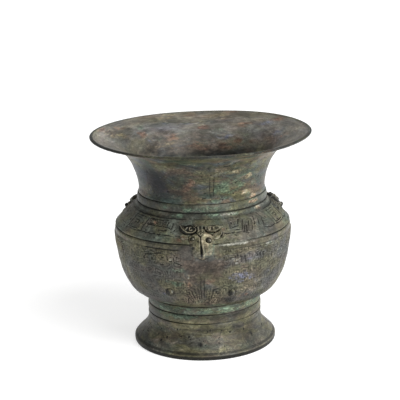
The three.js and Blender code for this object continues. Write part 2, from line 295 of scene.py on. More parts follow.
def shoulder_relief(az, z, p3):
    u, k = from_head(az)
    ring, keep = shoulder_ring(az)
    a = np.abs(u)
    x, y = a * RAD * 91.0, slope(z)
    x = x + (fbm(p3, 11.0, 2, 21) - 0.5) * 1.5
    y = y + (fbm(p3, 11.0, 2, 22) - 0.5) * 1.3
    h = np.zeros_like(x)
    field = step(z - ring, 0.1, 0.9) * (1 - step(z, 165.4, 166.2)) * step(a, 11.5, 13.5)
    h += 0.30 * thread(x + 1.3, y, 3.6, 0.95) * field
    raised = [
        (3.0, 0.62, sh([(23.5, 164.2), (33, 164.4), (44, 164.3), (59.8, 164.0)])),
        (2.6, 0.62, sh([(60, 163.5), (60, 153)])),
        (2.8, 0.62, sh([(60, 152.6), (52, 152.5), (47.5, 152.6)])),
        (2.0, 0.34, sh([(47.5, 152.6), (46.3, 152.7), (45.2, 156), (44.6, 160.6)])),
        (2.0, 0.58, sh([(55.6, 160.8), (49, 160.7), (48.9, 156.3), (54.6, 156.2), (54.6, 158.6), (52, 158.5)])),
        (2.6, 0.60, sh([(21, 157.7), (27.8, 157.0), (28.3, 154.6), (23.4, 154.0)])),
        (2.2, 0.60, sh([(19.4, 156.6), (19.4, 162.6), (22.4, 163.4)])),
        (2.2, 0.60, sh([(41.2, 162.2), (41.9, 157), (41.4, 152.6)])),
        (1.7, 0.55, sh([(37.2, 156.4), (37.2, 152.2), (39.2, 152.1)])),
        (1.7, 0.55, sh([(33.2, 156.2), (33.2, 152.4), (35.2, 152.3)])),
        (1.5, 0.55, sh([(30.4, 155.4), (30.4, 151.9)])),
        (1.5, 0.55, sh([(17.2, 153.8), (19.8, 154.0), (20.4, 152.2), (17.4, 151.8)])),
    ]
    draw(h, x, y, raised)
    # the square eye with its pupil, and the square spiral beside it
    eye_x, eye_y = sh([(37.4, 161.4)])[0]
    sq = np.maximum(np.abs(x - eye_x) / 5.4, np.abs(y - eye_y) / 3.9)
    m = 1 - step(sq, 0.93, 1.03)
    h[:] = np.where(m > 0, np.maximum(h * (1 - m), 0.55 * m), h)
    cuts = [
        (0.95, -0.55, sh([(34.1, 158.6), (40.9, 158.6), (40.9, 164.0), (34.1, 164.0), (34.1, 158.6)])),
        (0.85, -0.50, sh([(35.3, 163.0), (39.6, 163.0), (39.6, 159.7), (35.4, 159.7), (35.4, 161.6)])),
        (0.95, -0.55, sh([(33.3, 164.0), (28.9, 164.0), (28.9, 158.7), (33.0, 158.7), (33.0, 161.9), (30.7, 161.9), (30.7, 160.4), (31.8, 160.4)])),
        (0.85, -0.50, sh([(26.2, 165.2), (27.9, 165.2), (27.9, 160.9), (26.3, 160.9), (26.3, 163.0), (27.6, 163.0)])),
        (0.90, -0.55, sh([(27.6, 158.7), (24.4, 158.2), (20.9, 157.2)])),
        (0.85, -0.50, sh([(30.2, 155.3), (27.4, 155.2), (24.3, 155.3)])),
        (0.85, -0.50, sh([(24.4, 162.6), (24.4, 159.6)])),
        (0.85, -0.50, sh([(20.7, 162.2), (20.6, 157.6)])),
        (0.80, -0.45, sh([(43.2, 165.0), (43.4, 157.0), (43.6, 152.0)])),
        (0.75, -0.40, sh([(46.6, 164.1), (58.8, 163.9)])),
        (0.75, -0.40, sh([(47.6, 152.7), (58.8, 152.6)])),
        (0.75, -0.40, sh([(25, 164.3), (34, 164.5)])),
        (0.95, -0.55, sh([(58.2, 163.4), (58.1, 153.4)])),
    ]
    draw(h, x, y, cuts, soft=0.24)
    d = np.hypot(x - eye_x, y - eye_y)
    h[:] = np.maximum(h, 0.95 * (1 - step(d, 0.9, 2.0)))
    # ring lines that border the band
    for zz, depth, wide in ((ring, 0.17 * keep, 0.8), (166.3, 0.16, 0.8)):
        h -= depth * np.exp(-((y - slope(zz)) / (wide * 0.55)) ** 2)
    wear = step(fbm(p3, 22.0, 3, 5), 0.36, 0.60) * 0.55 + 0.45
    wear *= 1.0 - (0.30 * step(u, 5, 24) + 0.35 * step(u, 24, 30)) * (k == 0) * (u > 0)
    wear *= 1.0 - 0.6 * step(-az, 61.5, 64) * (1 - step(-az, 82, 96))
    h = h * wear * 1.35
    return draw(h, np.where((u > 0) & (k == 0), x, -999.0), y, [(0.95, -0.46, sh(pts)) for pts in FRONT_STROKES], soft=0.28)


def be(points):
    """Belly stroke points from (degrees from the head, height) to millimetres."""
    p = np.array(points, float)
    return np.stack([p[:, 0] * RAD * 100.0, p[:, 1]], -1)


# what is left of the upper ornament on the front: degrees round from the front, height
BELLY_STROKES = (
    [(-39.3, 128.9), (-33.7, 129.7)], [(-31.3, 131.7), (-27.0, 133.0)], [(-40.5, 123.9), (-39.4, 127.3)], [(-33.6, 126.1), (-33.7, 123.7)], [(-26.8, 127.6), (-25.8, 127.3)], [(-23.7, 129.2), (-23.0, 128.6)],
    [(-22.9, 127.1), (-22.7, 124.6)], [(-18.9, 127.4), (-18.7, 125.0)], [(-21.5, 123.8), (-20.3, 123.8)], [(-17.9, 122.9), (-16.0, 121.3), (-13.8, 120.0)], [(-27.7, 118.8), (-25.9, 118.9)], [(-40.3, 133.0), (-39.5, 131.5)],
    [(24.4, 125.1), (24.5, 120.8)], [(26.7, 127.0), (27.4, 120.8)], [(35.6, 128.4), (35.8, 123.9)], [(38.1, 127.5), (38.4, 122.9)], [(40.8, 127.1), (41.3, 121.7)], [(48.7, 122.9), (49.5, 117.2)],
    [(14.0, 132.8), (14.0, 131.7)], [(16.3, 134.9), (16.8, 134.4)])


def belly_relief(az, z, p3):
    u, k = from_head(az)
    a = np.abs(u)
    wx = (fbm(p3, 9.0, 3, 24) - 0.5) * 4.2
    wy = (fbm(p3, 9.0, 3, 25) - 0.5) * 4.2
    x0, y0 = a * RAD * 100.0, z
    x, y = x0 + wx, y0 + wy
    top = step(z, 121.4, 122.2) * (1 - step(z, 135.6, 137.0)) * step(a, 12.5, 14.2)
    low = step(z, 63.5, 66.0) * (1 - step(z, 120.8, 121.6))
    centre = step(np.hypot(a / 14.0, (z - 108) / 20.0), 0.85, 1.05)
    fx, fy = (fbm(p3, 4.5, 2, 28) - 0.5) * 2.8, (fbm(p3, 4.5, 2, 29) - 0.5) * 2.8
    ground = thread(x + fx * 0.8 + 0.8, y0 + wy * 0.7 + fy * 0.8 - 121.6, 10.0, 1.40, True) * top * 1.4 + thread(x + fx + 2.0, y + fy + 0.6, 11.6, 1.50, True) * low * centre
    bands = np.zeros_like(x)
    raised = [
        # brow and horn
        (5.2, 1.0, be(spline([(15.5, 106), (20, 112.5), (28, 116.5), (37, 116), (43.5, 111), (44, 104), (39.5, 100), (35, 102), (35.6, 106.5)]))),
        (4.4, 1.0, be(spline([(49, 118.5), (54, 113), (56.5, 104), (56.5, 94), (52, 86)]))),
        # eye corners
        (3.2, 1.0, be(spline([(12.8, 79.5), (15.5, 84), (21.5, 90.5), (28.5, 89.0), (34.5, 84.5)]))),
        (2.8, 1.0, be(spline([(13.0, 79.0), (18, 76.6), (24, 76.8), (30, 79.6)]))),
        # body and raised tail
        (4.6, 1.0, be(spline([(33, 93), (40, 93.4), (46.5, 90.5), (49.5, 84), (46.5, 78), (41, 77.5), (39.6, 81.5)]))),
        # jaw
        (3.4, 1.0, be(spline([(8, 70.5), (13, 67.6), (20, 68.0), (26, 71.2), (27.5, 74.4)]))),
        (3.0, 1.0, be(spline([(31, 72.0), (38, 71.5), (45, 73.0)]))),
        (3.2, 1.0, be(spline([(1.5, 69.5), (5.2, 68.0), (8.6, 70.2), (8.8, 74.0), (6.2, 75.2), (4.8, 73.0)]))),
    ]
    draw(bands, x, y, raised, soft=1.0)
    h = 0.55 * ground * (1 - 0.5 * bands) + 0.30 * bands
    # nose ridge, and the fan of lines beside it
    nose = np.exp(-(np.abs(x0 + wx * 0.15) / 0.85) ** 4) * step(z, 64, 66) * (1 - step(z, 103, 108))
    h = h * (1 - np.exp(-(x0 / 2.2) ** 4) * step(z, 64, 66) * (1 - step(z, 103, 108))) + 0.55 * nose
    cuts = [(1.1, -0.62, be([(1.15, 106), (1.1, 65)]))]
    for i, aa in enumerate((2.6, 4.4, 6.4, 8.6, 11.0)):
        cuts.append((1.2, -0.66, be(spline([(aa * 1.20, 92 - 1.8 * i), (aa * 1.02, 84), (aa * 0.80, 76), (aa * 0.62, 68 + 0.8 * i)]))))
    fan = np.zeros_like(x)
    draw(fan, x0 + wx * 0.4, y0, cuts, soft=0.4)
    h = h + fan * (0.55 + 0.45 * step(fbm(p3, 14.0, 2, 26), 0.35, 0.6))
    # smooth plate under the head
    plate = (1 - step(a, 11.5, 13.5)) * step(z, 107.0, 111.0) * (1 - step(z, 131.0, 133.0))
    h = h * (1 - 0.85 * plate) + 0.16 * plate
    # eye bosses
    left = (u < 0) & (k == 0)
    d = np.hypot(x0 - np.where(left, 22.2, 20.4) * RAD * 100.0, (y0 - np.where(left, 84.6, 83.0)) * 0.92)
    boss = np.exp(-(d / 4.6) ** 4)
    wear = step(fbm(p3, 21.0, 4, 9), 0.36, 0.56) * 0.50 + 0.50
    # rubbed nearly smooth low on the front's left
    wear = wear * (1 - 0.55 * (k == 0) * step(-u, 14, 20) * (1 - step(z, 98, 108)) - 0.35 * (k == 0) * step(-u, 30, 40) * step(z, 98, 108))
    h = h * (wear * (1 - boss) + boss)
    h = h * step(d, 3.2, 5.0) - 0.15 * np.exp(-((d - 4.0) / 0.9) ** 2)
    h = np.maximum(h, 3.0 * np.sqrt(np.clip(1 - (d / 3.7) ** 2, 0, 1)) - 0.1)
    h -= 0.40 * np.exp(-(d / 0.9) ** 2)
    part = (0.12 + 0.88 * step(az, -44, -36) * (1 - step(az, -16, -11))) * (0.35 + 0.65 * step(fbm(p3, 9.0, 3, 27), 0.40, 0.56))
    h -= 0.34 * np.exp(-((y0 + wy * 0.3 - 137.2) / 0.65) ** 2) * part
    return draw(h, az * RAD * 100.0 + wx * 0.15, y0 + wy * 0.15, [(1.15, -0.36, be(pts)) for pts in BELLY_STROKES], soft=0.34)


def belly_limit(az, z):
    """How dark the belly's hollows may go: deep in the fan of lines, round the bosses and in the upper line, shallow elsewhere."""
    u, k = from_head(az)
    a = np.abs(u)
    d = np.hypot((a - np.where((u < 0) & (k == 0), 22.2, 20.4)) * RAD * 100.0, z - 84.0)
    deep = np.maximum(0.6 * (1 - step(a, 10, 14)) * step(z, 62, 66) * (1 - step(z, 88, 96)), np.exp(-((z - 137.2) / 1.6) ** 4) * step(az, -44, -36) * (1 - step(az, -16, -11)))
    cut = draw(np.zeros_like(z), az * RAD * 100.0, z, [(2.2, 1.0, be(pts)) for pts in BELLY_STROKES], soft=0.5)
    deep = np.maximum(deep, 0.7 * cut)
    return 0.42 + 0.30 * deep + 0.10 * (1 - step(d, 4.6, 6.2))


# the mould seam on the front of the neck, two lines close together
SEAMS = (6.85, 10.0)


def neck_marks(az, z):
    """Dirt in the seam, and how much green is let through: it stops at the seam."""
    on = step(z, 188, 192) * (1 - step(z, 213, 217))
    dirt = np.max([np.exp(-((az - a0) * RAD * 74.0 / 0.6) ** 2) for a0 in SEAMS], 0) * on
    return 0.52 * dirt, 1.0 - 0.85 * on * (1 - step(az, 9.4, 10.6)) * step(az, -6.0, -2.0)


def neck_relief(az, z, p3):
    """Mould seams up the neck and faint level lines left by finishing."""
    h = np.zeros_like(z)
    for a0 in SEAMS:
        d = (az - a0) * RAD * 76.0 + (fbm(p3, 8.0, 2, 61) - 0.5) * 0.7
        h -= 0.30 * np.exp(-(d / 0.55) ** 2) * step(z, 188, 192) * (1 - step(z, 213, 217))
    for a0 in (128.0, -112.0):
        d = (az - a0) * RAD * 76.0 + (fbm(p3, 8.0, 2, 62) - 0.5) * 1.1
        h += 0.22 * np.exp(-(d / 0.5) ** 2) * step(z, 185, 190) * (1 - step(z, 222, 230))
    lines = fbm(p3 * np.array([0.12, 0.12, 1.0]), 1.6, 3, 63) - 0.5
    return h + lines * 0.10


def foot_relief(az, z, p3):
    """Level finishing lines, casting pits and small flaws of the foot."""
    h = (fbm(p3 * np.array([0.12, 0.12, 1.0]), 1.6, 3, 64) - 0.5) * 0.14
    for a0, z0, rr in ((-43.8, 14.7, 1.0), (-38.8, 18.9, 0.9), (-15.8, 22.5, 0.9), (-14.2, 20.2, 0.7), (-4.4, 15.3, 1.5), (48.5, 18.0, 1.1), (95, 12, 1.0), (150, 20, 1.2), (-120, 16, 1.1)):
        d = np.hypot(((az - a0 + 180) % 360 - 180) * RAD * 75.0, z - z0)
        h -= 0.55 * np.exp(-(d / rr) ** 2)
    return h


# ------------------------------------------------------------------ patina, painted shade and painted highlights placed by angle and height
# (degrees round from the front, height, half width, half height, strength), outside and inside the vessel
PATCH_OUT = {
    "green": [(18, 200, 13, 9, 1.0), (30, 203, 11, 7, 0.75), (24, 194, 10, 4, 0.7), (4, 209, 5, 5, 0.45), (-28, 46.2, 34, 4, 0.75), (-2, 177, 24, 3.4, 0.62), (-12, 176.5, 9, 3, 0.90), (-33, 176.5, 3.5, 1.8, 0.8), (9, 170.4, 8, 2.4, 1.0), (10, 185, 9, 2.2, 0.8), (22, 188, 7, 2.2, 0.7),
              (-20, 170.0, 9, 2.4, 0.85), (26, 169.2, 9, 2.0, 0.8), (-38, 53, 30, 4.0, 0.8), (20.5, 55.4, 9, 3.0, 0.75), (2, 52.5, 14, 3, 0.5), (44, 53, 14, 3.5, 0.6),
              (-20, 97, 9, 4, 0.6), (-16, 114, 9, 4, 0.55), (-30, 66, 24, 4, 0.55), (10, 64, 20, 3, 0.5), (45, 134, 12, 4, 0.5),
              (150, 205, 22, 12, 0.9), (-150, 190, 18, 10, 0.7), (170, 110, 26, 16, 0.8), (-100, 85, 22, 12, 0.7), (110, 54, 30, 4, 0.8), (-150, 22, 16, 8, 0.6)],
    # tan at (22.8, 83.6) is a painted highlight on the right side of the right belly boss
    "tan": [(27.8, 218.6, 6.5, 3.2, 1.0), (15.7, 221.5, 9, 3.0, 0.6), (42.5, 210.7, 5, 3.6, 0.8), (40.6, 191.2, 6.5, 3.6, 1.0), (51.6, 184.7, 6, 2.4, 0.9), (49.7, 178.3, 6, 2.4, 1.0), (-23.5, 224.7, 4.5, 2.2, 0.7), (-6.4, 232, 8, 2.0, 0.6),
            (-8.6, 209.1, 4, 3, 0.6), (-12.4, 201.5, 6, 4, 0.7), (55.4, 170.6, 7, 2.2, 1.0), (22.8, 83.6, 2.0, 2.8, 0.8), (-9.6, 105, 2.2, 3.6, 0.8), (-9.6, 96, 4.0, 3.6, 0.9), (7, 82, 13, 10, 0.75), (30, 86, 17, 10, 0.7), (-4, 99, 6, 8, 0.5),
            (10, 76, 7, 4, 0.8), (11, 84, 6, 3, 0.8), (27, 76, 5, 3, 0.8), (36, 84, 8, 4, 0.6), (21.3, 123.4, 4, 2.2, 1.0), (-21.1, 125.4, 4.6, 2.2, 0.6),
            (31, 133, 3, 2, 0.8), (-28, 126, 12, 6, 0.5), (-30, 136, 12, 4, 0.5), (34, 112, 9, 4, 0.6), (46, 117, 9, 4, 0.5), (22, 109, 6, 2, 0.7), (-13, 86, 4, 6, 0.5),
            (-120, 220, 14, 7, 0.8), (140, 225, 12, 5, 0.8), (180, 95, 20, 12, 0.7), (-95, 120, 14, 8, 0.6), (120, 95, 18, 10, 0.7), (95, 20, 12, 6, 0.6)],
    "blue": [(24, 102, 17, 5.5, 0.75), (25.1, 96.4, 4.5, 2.0, 1.0), (28.3, 104.3, 6, 3.2, 0.9), (17, 102, 4, 2.5, 0.9), (-45, 205, 26, 20, 0.45), (-29, 81, 3, 3, 0.5),
             (31, 124, 5, 6, 0.5), (-130, 100, 16, 8, 0.7), (100, 110, 14, 7, 0.6), (165, 200, 14, 8, 0.5)],
    "umber": [(0, 118, 25, 15, 0.95), (-7, 100, 18, 14, 0.8), (8, 72, 18, 7, 0.7), (-32, 84, 16, 10, 0.5), (-9, 75, 9, 8, 0.7), (26, 114, 7, 5, 0.8), (-10.5, 205.3, 9, 7, 0.7),
              (-2, 222, 20, 8, 0.5), (45, 140, 30, 3, 0.6), (42, 95, 9, 5, 0.5), (-60, 139, 10, 3, 0.7), (20, 22, 30, 10, 0.4), (-160, 150, 30, 12, 0.6), (120, 210, 30, 14, 0.6),
              (-110, 70, 28, 14, 0.6), (-175, 25, 26, 10, 0.6)],
    # among the darks, the lip's left (-58 at 249.4), the neck's left side (-62 to -22, 177 to 206), the crease on the
    # left (-26 and -46 at 144) and the left side of each belly boss (18.4, -25.6 and -24.4 near 84) are painted shade
    "dark": [(-58, 249.4, 70, 2.4, 1.0), (18.4, 82.8, 2.6, 3.8, 0.9), (-25.6, 84.4, 2.6, 3.6, 1.0), (-24.4, 83.4, 2.0, 2.6, 0.9), (-4.4, 15.3, 3.2, 2.4, 0.9), (-43.8, 14.7, 1.5, 1.3, 1.0), (-38.8, 18.9, 1.3, 1.2, 0.9), (-15.8, 22.5, 1.3, 1.2, 0.9),
             (48.5, 18.2, 5, 4, 0.7), (18, 73, 8, 5, 0.7), (20.0, 127.2, 1.1, 1.1, 0.95), (21.5, 128.9, 1.2, 1.2, 0.95), (23.6, 128.0, 3.0, 2.0, 0.35), (-43, 206, 20, 30, 0.72), (-22, 206, 18, 20, 0.52), (-62, 198, 20, 26, 0.42), (-62, 177, 46, 7, 0.55), (44, 16, 28, 14, 0.44), (36, 46, 28, 4, 0.60), (44, 70, 32, 10, 0.40), (2, 46, 40, 3.6, 0.20), (30, 158, 30, 9, 0.36), (-26, 143.8, 24, 1.1, 0.62), (-46, 144.0, 16, 1.0, 0.45), (-37, 137.2, 5, 0.9, 0.8), (-29, 137.2, 4, 0.8, 0.8), (-20, 137.0, 5, 0.9, 0.75), (-2, 60.5, 60, 2.0, 0.40)],
    "rust": [(32, 248.6, 14, 1.6, 0.8), (-12.4, 201.5, 6, 4.5, 0.85), (-8.6, 209.1, 4, 3, 0.7), (51.6, 184.7, 5, 2, 0.75), (49.7, 178.3, 5, 2, 0.75), (55.6, 170.4, 5.5, 2, 0.75), (-37.4, 161.3, 2.0, 1.7, 0.9), (31.8, 76.6, 2.2, 1.4, 0.9), (-10.5, 205.3, 5, 4, 0.7), (38.8, 191.0, 3.5, 2.2, 0.6), (53, 178.4, 4.0, 1.6, 0.8), (56, 169, 5, 1.6, 0.7),
             (-9.6, 96.5, 3, 3, 0.7), (3, 100, 8, 5, 0.45), (27, 76, 4, 2, 0.5), (14, 157, 3, 2, 0.7), (-15, 148, 3, 2, 0.6), (-14, 156, 3, 2, 0.6), (-140, 120, 10, 6, 0.6), (150, 60, 8, 4, 0.6)],
    "olive": [(-22.4, 85.6, 2.4, 2.8, 1.0), (-25.5, 89.5, 5.0, 1.8, 0.8), (12, 8.5, 20, 3.0, 1.0), (30, 220, 24, 6, 0.7), (-25, 137, 20, 5, 0.7), (26, 136, 16, 6, 0.6), (0, 24, 26, 8, 0.35), (35, 12, 16, 5, 0.6), (-26, 104, 6, 6, 0.4),
              (-12, 177.5, 7, 2.2, 0.7), (10, 186.5, 18, 3, 0.6), (40, 158, 10, 5, 0.6), (-52, 158, 9, 4, 0.6), (-90, 215, 30, 10, 0.6), (170, 165, 30, 8, 0.6), (-40, 90, 14, 6, 0.4), (-30, 140.2, 24, 2.0, 0.8), (-70, 140, 24, 2.0, 0.5)],
    # among the pales, the streak along the crease's fillet (13 to 32 near 142.6), the light on the lower string band
    # (24 near 170) and (-22.0, 85.4) on the right of the left belly boss are painted highlights
    "pale": [(13, 142.8, 8, 1.5, 0.8), (22, 142.7, 11, 1.7, 1.3), (32, 142.4, 7, 1.2, 0.6), (27.8, 218.8, 4.2, 2.0, 0.50), (42.5, 210.7, 3.5, 2.4, 0.35), (40.6, 191.4, 4.0, 2.0, 0.8), (50.5, 185.2, 4.0, 1.6, 0.5), (49.7, 178.3, 4.0, 1.5, 0.4), (-22.0, 85.4, 1.2, 2.8, 0.9), (24, 169.9, 9, 1.2, 0.9), (8, 170.6, 7, 1.0, 0.5), (20.5, 124.5, 4.0, 2.2, 0.55), (18.4, 125.8, 1.6, 1.0, 1.0), (21.5, 122.9, 2.2, 1.2, 1.0), (22.9, 125.5, 1.6, 1.0, 1.0), (20.7, 119.9, 1.8, 0.9, 0.9), (19.8, 124.3, 1.2, 0.8, 0.8), (-10, 105, 1.2, 1.4, 0.8), (44, 135, 4, 2, 0.7), (-20.8, 125.4, 1.6, 1.3, 1.0),
             (58, 170.6, 10, 1.2, 0.7), (46, 82, 3, 3, 0.6), (-60, 96, 10, 14, 0.35), (60, 120, 10, 20, 0.3), (24, 249.2, 6, 1.0, 0.6)],
    # lighter or darker skin; the darkening on the neck's left (-42 and -40 near 205) and low on the belly's left (-42
    # at 71) is painted shade on sides that face away from the light, and (-25.8, 84.2) is painted shade on the left of
    # the left belly boss
    "lift": [(-42, 206, 36, 24, -0.34), (-40, 204, 16, 18, -0.16), (-4, 222, 20, 8, -0.10), (-42, 158, 38, 10, 0.26), (28, 158, 20, 9, -0.14), (-52, 105, 24, 28, -0.34), (-38, 100, 14, 20, -0.10), (-24, 104, 14, 22, 0.10), (26, 112, 16, 16, 0.10), (24, 101, 12, 5, 0.05), (-42, 71, 32, 9, -0.28),
             (34, 72, 20, 8, -0.18), (0, 53.5, 26, 5, 0.40), (42, 53.5, 24, 5, 0.60), (-54, 53.5, 20, 5, -0.22), (2, 45.5, 40, 4, -0.20), (40, 20, 20, 14, -0.10), (0, 4, 200, 4, -0.24), (41, 191.3, 5.5, 2.8, 0.45), (50, 178.5, 5.5, 2.2, 0.45), (55.5, 170.5, 6, 2.0, 0.35), (51, 185, 5, 2.0, 0.25),
             (2, 117, 15, 9, -0.24), (20, 134, 16, 6, 0.16), (-25.8, 84.2, 2.4, 3.2, -0.5), (-52, 66, 30, 6, -0.14), (-28, 128, 24, 9, 0.16), (38, 127, 26, 9, 0.17), (0, 159, 15, 8, -0.22), (4, 176.5, 8, 3, -0.22), (-1, 169.5, 4, 2.5, -0.35), (24, 174.5, 10, 3.2, 0.22), (22, 169.5, 8, 1.8, 0.20), (0, 99, 16, 20, -0.26), (24, 15, 13, 6, -0.30), (-8, 29, 9, 5, -0.24), (17, 30.5, 8, 3, 0.22), (20.5, 55, 7, 3, 0.40), (20.8, 124.6, 3.4, 2.8, 0.22)],
    # yellower or bluer skin
    "warm": [(-52, 208, 42, 26, -0.58), (38, 206, 26, 24, 0.46), (46, 112, 38, 34, -0.30), (42, 158, 34, 10, -0.10), (0, 51, 70, 8, -0.10), (-50, 22, 28, 22, -0.15), (8, 187, 20, 4, 0.28), (-27, 130, 16, 7, 0.14), (-50, 128, 14, 9, -0.14)],
}
PATCH_IN = {
    "blue": [(168.8, 229.7, 16, 4, 0.5), (160, 226, 16, 4, 0.4), (-140, 227, 16, 5, 0.4), (-168, 241, 26, 3, 0.45), (-130, 241, 12, 3, 0.45), (130, 242, 14, 3, 0.5), (112, 240, 12, 4, 0.5)],
    "rust": [(-157.4, 227.3, 8, 4, 0.9), (177.1, 236, 10, 2.4, 0.7), (-174.9, 215.6, 24, 5.5, 0.60), (157.6, 215.8, 15, 4, 0.5), (146.6, 221.5, 10, 4.5, 0.85), (146.8, 240.2, 10, 2.6, 0.60), (125.7, 247.5, 10, 2.4, 0.75),
             (-130.6, 236, 8, 3.5, 0.8), (-119.4, 246, 14, 2.2, 0.6), (-106, 248, 12, 2.0, 0.65), (162.2, 248.6, 15, 1.6, 0.6), (100, 240, 9, 3.5, 0.6), (-174, 247.8, 12, 1.6, 0.5), (40, 238, 12, 4, 0.6), (-40, 242, 12, 3, 0.6)],
    "tan": [(170, 246, 26, 2.4, 0.65), (-160, 247.5, 22, 1.8, 0.55), (178, 240, 12, 2.4, 0.5), (136, 245.5, 16, 2.2, 0.55), (-112, 240, 16, 4, 0.6), (-104.8, 243, 18, 5, 0.55), (-119.4, 245, 14, 3, 0.5), (-153, 245, 22, 2.5, 0.45), (-130.1, 220.2, 16, 4.5, 0.75), (-150.7, 219, 12, 4, 0.6), (141.5, 247.5, 18, 2, 0.5), (60, 246, 22, 3, 0.5)],
    "umber": [(180, 213, 60, 8, 0.9), (-140, 222, 34, 8, 0.7), (110, 232, 26, 8, 0.6), (0, 240, 60, 10, 0.5), (-150, 232, 14, 4, 0.5), (130, 226, 20, 6, 0.6), (0, 120, 200, 60, 0.5), (180, 120, 200, 60, 0.5)],
    "green": [(168, 230, 17, 4.0, 0.50), (-168, 241, 24, 3, 0.40), (-140, 228, 15, 4, 0.35), (-134.9, 241.8, 8, 2.6, 0.75), (-174, 243, 20, 2, 0.4), (140, 232, 12, 4, 0.5), (-120, 228, 14, 5, 0.4), (20, 225, 30, 8, 0.6), (60, 100, 40, 30, 0.6), (-160, 90, 40, 24, 0.6)],
    "dark": [(-136, 238, 12, 2.2, 0.6), (-126, 243, 9, 1.6, 0.6), (-148, 236, 10, 2.0, 0.5), (-118, 239, 9, 2.0, 0.45), (120, 240, 12, 2.0, 0.5), (0, 245, 80, 3, 0.4), (-106, 236, 26, 8, 0.34), (180, 212, 90, 7, 0.45), (141.7, 213, 20, 5, 0.6), (124.7, 237.1, 8, 3, 0.5), (180, 206, 120, 7, 0.7), (-150.7, 216, 14, 5, 0.5), (-128, 217, 20, 6, 0.6), (94.4, 235.7, 16, 6, 0.35), (-135, 242, 5, 1.8, 0.5), (-106, 236, 20, 6, 0.25)],
    "olive": [(40, 236, 30, 6, 0.5), (-60, 238, 30, 6, 0.5), (-106, 240, 20, 6, 0.5)],
    "pale": [(-105, 247.5, 10, 1.6, 0.4), (169, 231, 8, 2, 0.35)],
    "lift": [(-104, 243, 30, 9, -0.20), (-150, 232, 30, 9, -0.08), (112, 239, 20, 8, 0.14), (180, 215, 70, 8, -0.14), (-137, 224, 26, 9, -0.24), (-160, 228, 18, 6, -0.26), (-149, 247, 14, 2.5, -0.25), (164, 232.8, 28, 3.8, 0.50), (-171, 244.6, 12, 2.5, 0.36), (142, 243, 12, 3, 0.25),
             (116, 229, 14, 6, 0.42), (159, 220, 20, 5, 0.26), (140, 216, 12, 4, 0.35), (128, 248.5, 10, 2, -0.22), (176, 244, 7, 2, -0.20), (-133, 245, 10, 2.5, 0.15)],
    "warm": [(168, 232, 26, 4, -0.25), (-152, 238, 16, 5, -0.20), (-112, 240, 14, 5, 0.20), (180, 247, 30, 3, 0.12), (-160, 226, 14, 5, 0.20), (146, 243, 14, 4, 0.25), (128, 232, 14, 6, -0.15)],
}
PATCH_NAMES = ("green", "tan", "blue", "umber", "dark", "rust", "olive", "pale", "lift", "warm")
SIGNED = ("lift", "warm")


def patches(p3, table):
    """Strength of each patina, painted shade and painted highlight at points in millimetres."""
    r = np.hypot(p3[:, 0], p3[:, 1])
    az = np.degrees(np.arctan2(p3[:, 0], -p3[:, 1]))
    wob = (fbm(p3, 9.0, 3, 71) - 0.5) * 8.0
    wob2 = (fbm(p3, 9.0, 3, 83) - 0.5) * 8.0
    out = {}
    for name in PATCH_NAMES:
        v = np.zeros(len(p3))
        for a0, z0, wa, wz, amp in table.get(name, ()):
            dx = ((az - a0 + 180) % 360 - 180) * RAD * r
            k = min(1.0, (wa / 8.0) ** 1.7)
            kz = min(1.0, (wz / 8.0) ** 1.7)
            g = amp * np.exp(-0.75 * (((dx + wob * k) / wa) ** 2 + ((p3[:, 2] - z0 + wob2 * kz) / wz) ** 2))
            v = v + g if name in SIGNED else np.maximum(v, g)
        out[name] = np.clip(v, -0.6, 1.0) if name in SIGNED else np.clip(v, 0, 1)
    return out


# ------------------------------------------------------------------ mesh making


def make_mesh(name, verts_mm, faces3, faces4, floats, sharp=45.0):
    """A mesh object in metres from millimetre points, triangles, quads and named point values."""
    mesh = bpy.data.meshes.new(name)
    n3, n4 = len(faces3), len(faces4)
    mesh.vertices.add(len(verts_mm))
    mesh.vertices.foreach_set("co", (np.asarray(verts_mm, np.float32) * 0.001).ravel())
    mesh.loops.add(3 * n3 + 4 * n4)
    idx = np.concatenate([np.asarray(faces3, np.int32).ravel(), np.asarray(faces4, np.int32).ravel()])
    mesh.loops.foreach_set("vertex_index", idx)
    mesh.polygons.add(n3 + n4)
    starts = np.concatenate([np.arange(n3) * 3, 3 * n3 + np.arange(n4) * 4]).astype(np.int32)
    mesh.polygons.foreach_set("loop_start", starts)
    mesh.update(calc_edges=True)
    mesh.validate()
    mesh.shade_smooth()
    if sharp:
        mesh.set_sharp_from_angle(angle=sharp * RAD)
    for key, values in floats.items():
        at = mesh.attributes.new(key, "FLOAT", "POINT")
        at.data.foreach_set("value", np.asarray(values, np.float32))
    obj = bpy.data.objects.new(name, mesh)
    bpy.context.scene.collection.objects.link(obj)
    return obj


def ring_faces(a, b, n):
    """Quads between two rings of n points that start at vertices a and b."""
    j = np.arange(n)
    k = (j + 1) % n
    return np.stack([a + j, a + k, b + k, b + j], -1)


def warp(p):
    """The slight unevenness of a hand-made mould and of age, in millimetres."""
    out = p.copy()
    r = np.maximum(np.hypot(p[:, 0], p[:, 1]), 1e-6)
    rim = step(p[:, 2], 222.0, 249.0)
    ang = np.arctan2(p[:, 0], -p[:, 1])
    dz = 1.25 * (p[:, 0] / 128.0) + 0.30 * np.sin(3 * ang + 0.6) + 0.22 * np.sin(5 * ang + 2.0)
    dz -= 1.9 * np.exp(-(((ang / RAD - 8.0) / 44.0) ** 4))
    out[:, 2] += rim * dz
    wave = (fbm(p, 48.0, 2, 3) - 0.5) * 0.5 + (fbm(p, 15.0, 2, 13) - 0.5) * 0.22
    keep = step(p[:, 2], 1.0, 8.0) * (1 - 0.7 * step(p[:, 2], 244.0, 249.0))
    out[:, 0] += p[:, 0] / r * wave * keep * step(r, 20, 50)
    out[:, 1] += p[:, 1] / r * wave * keep * step(r, 20, 50)
    return out


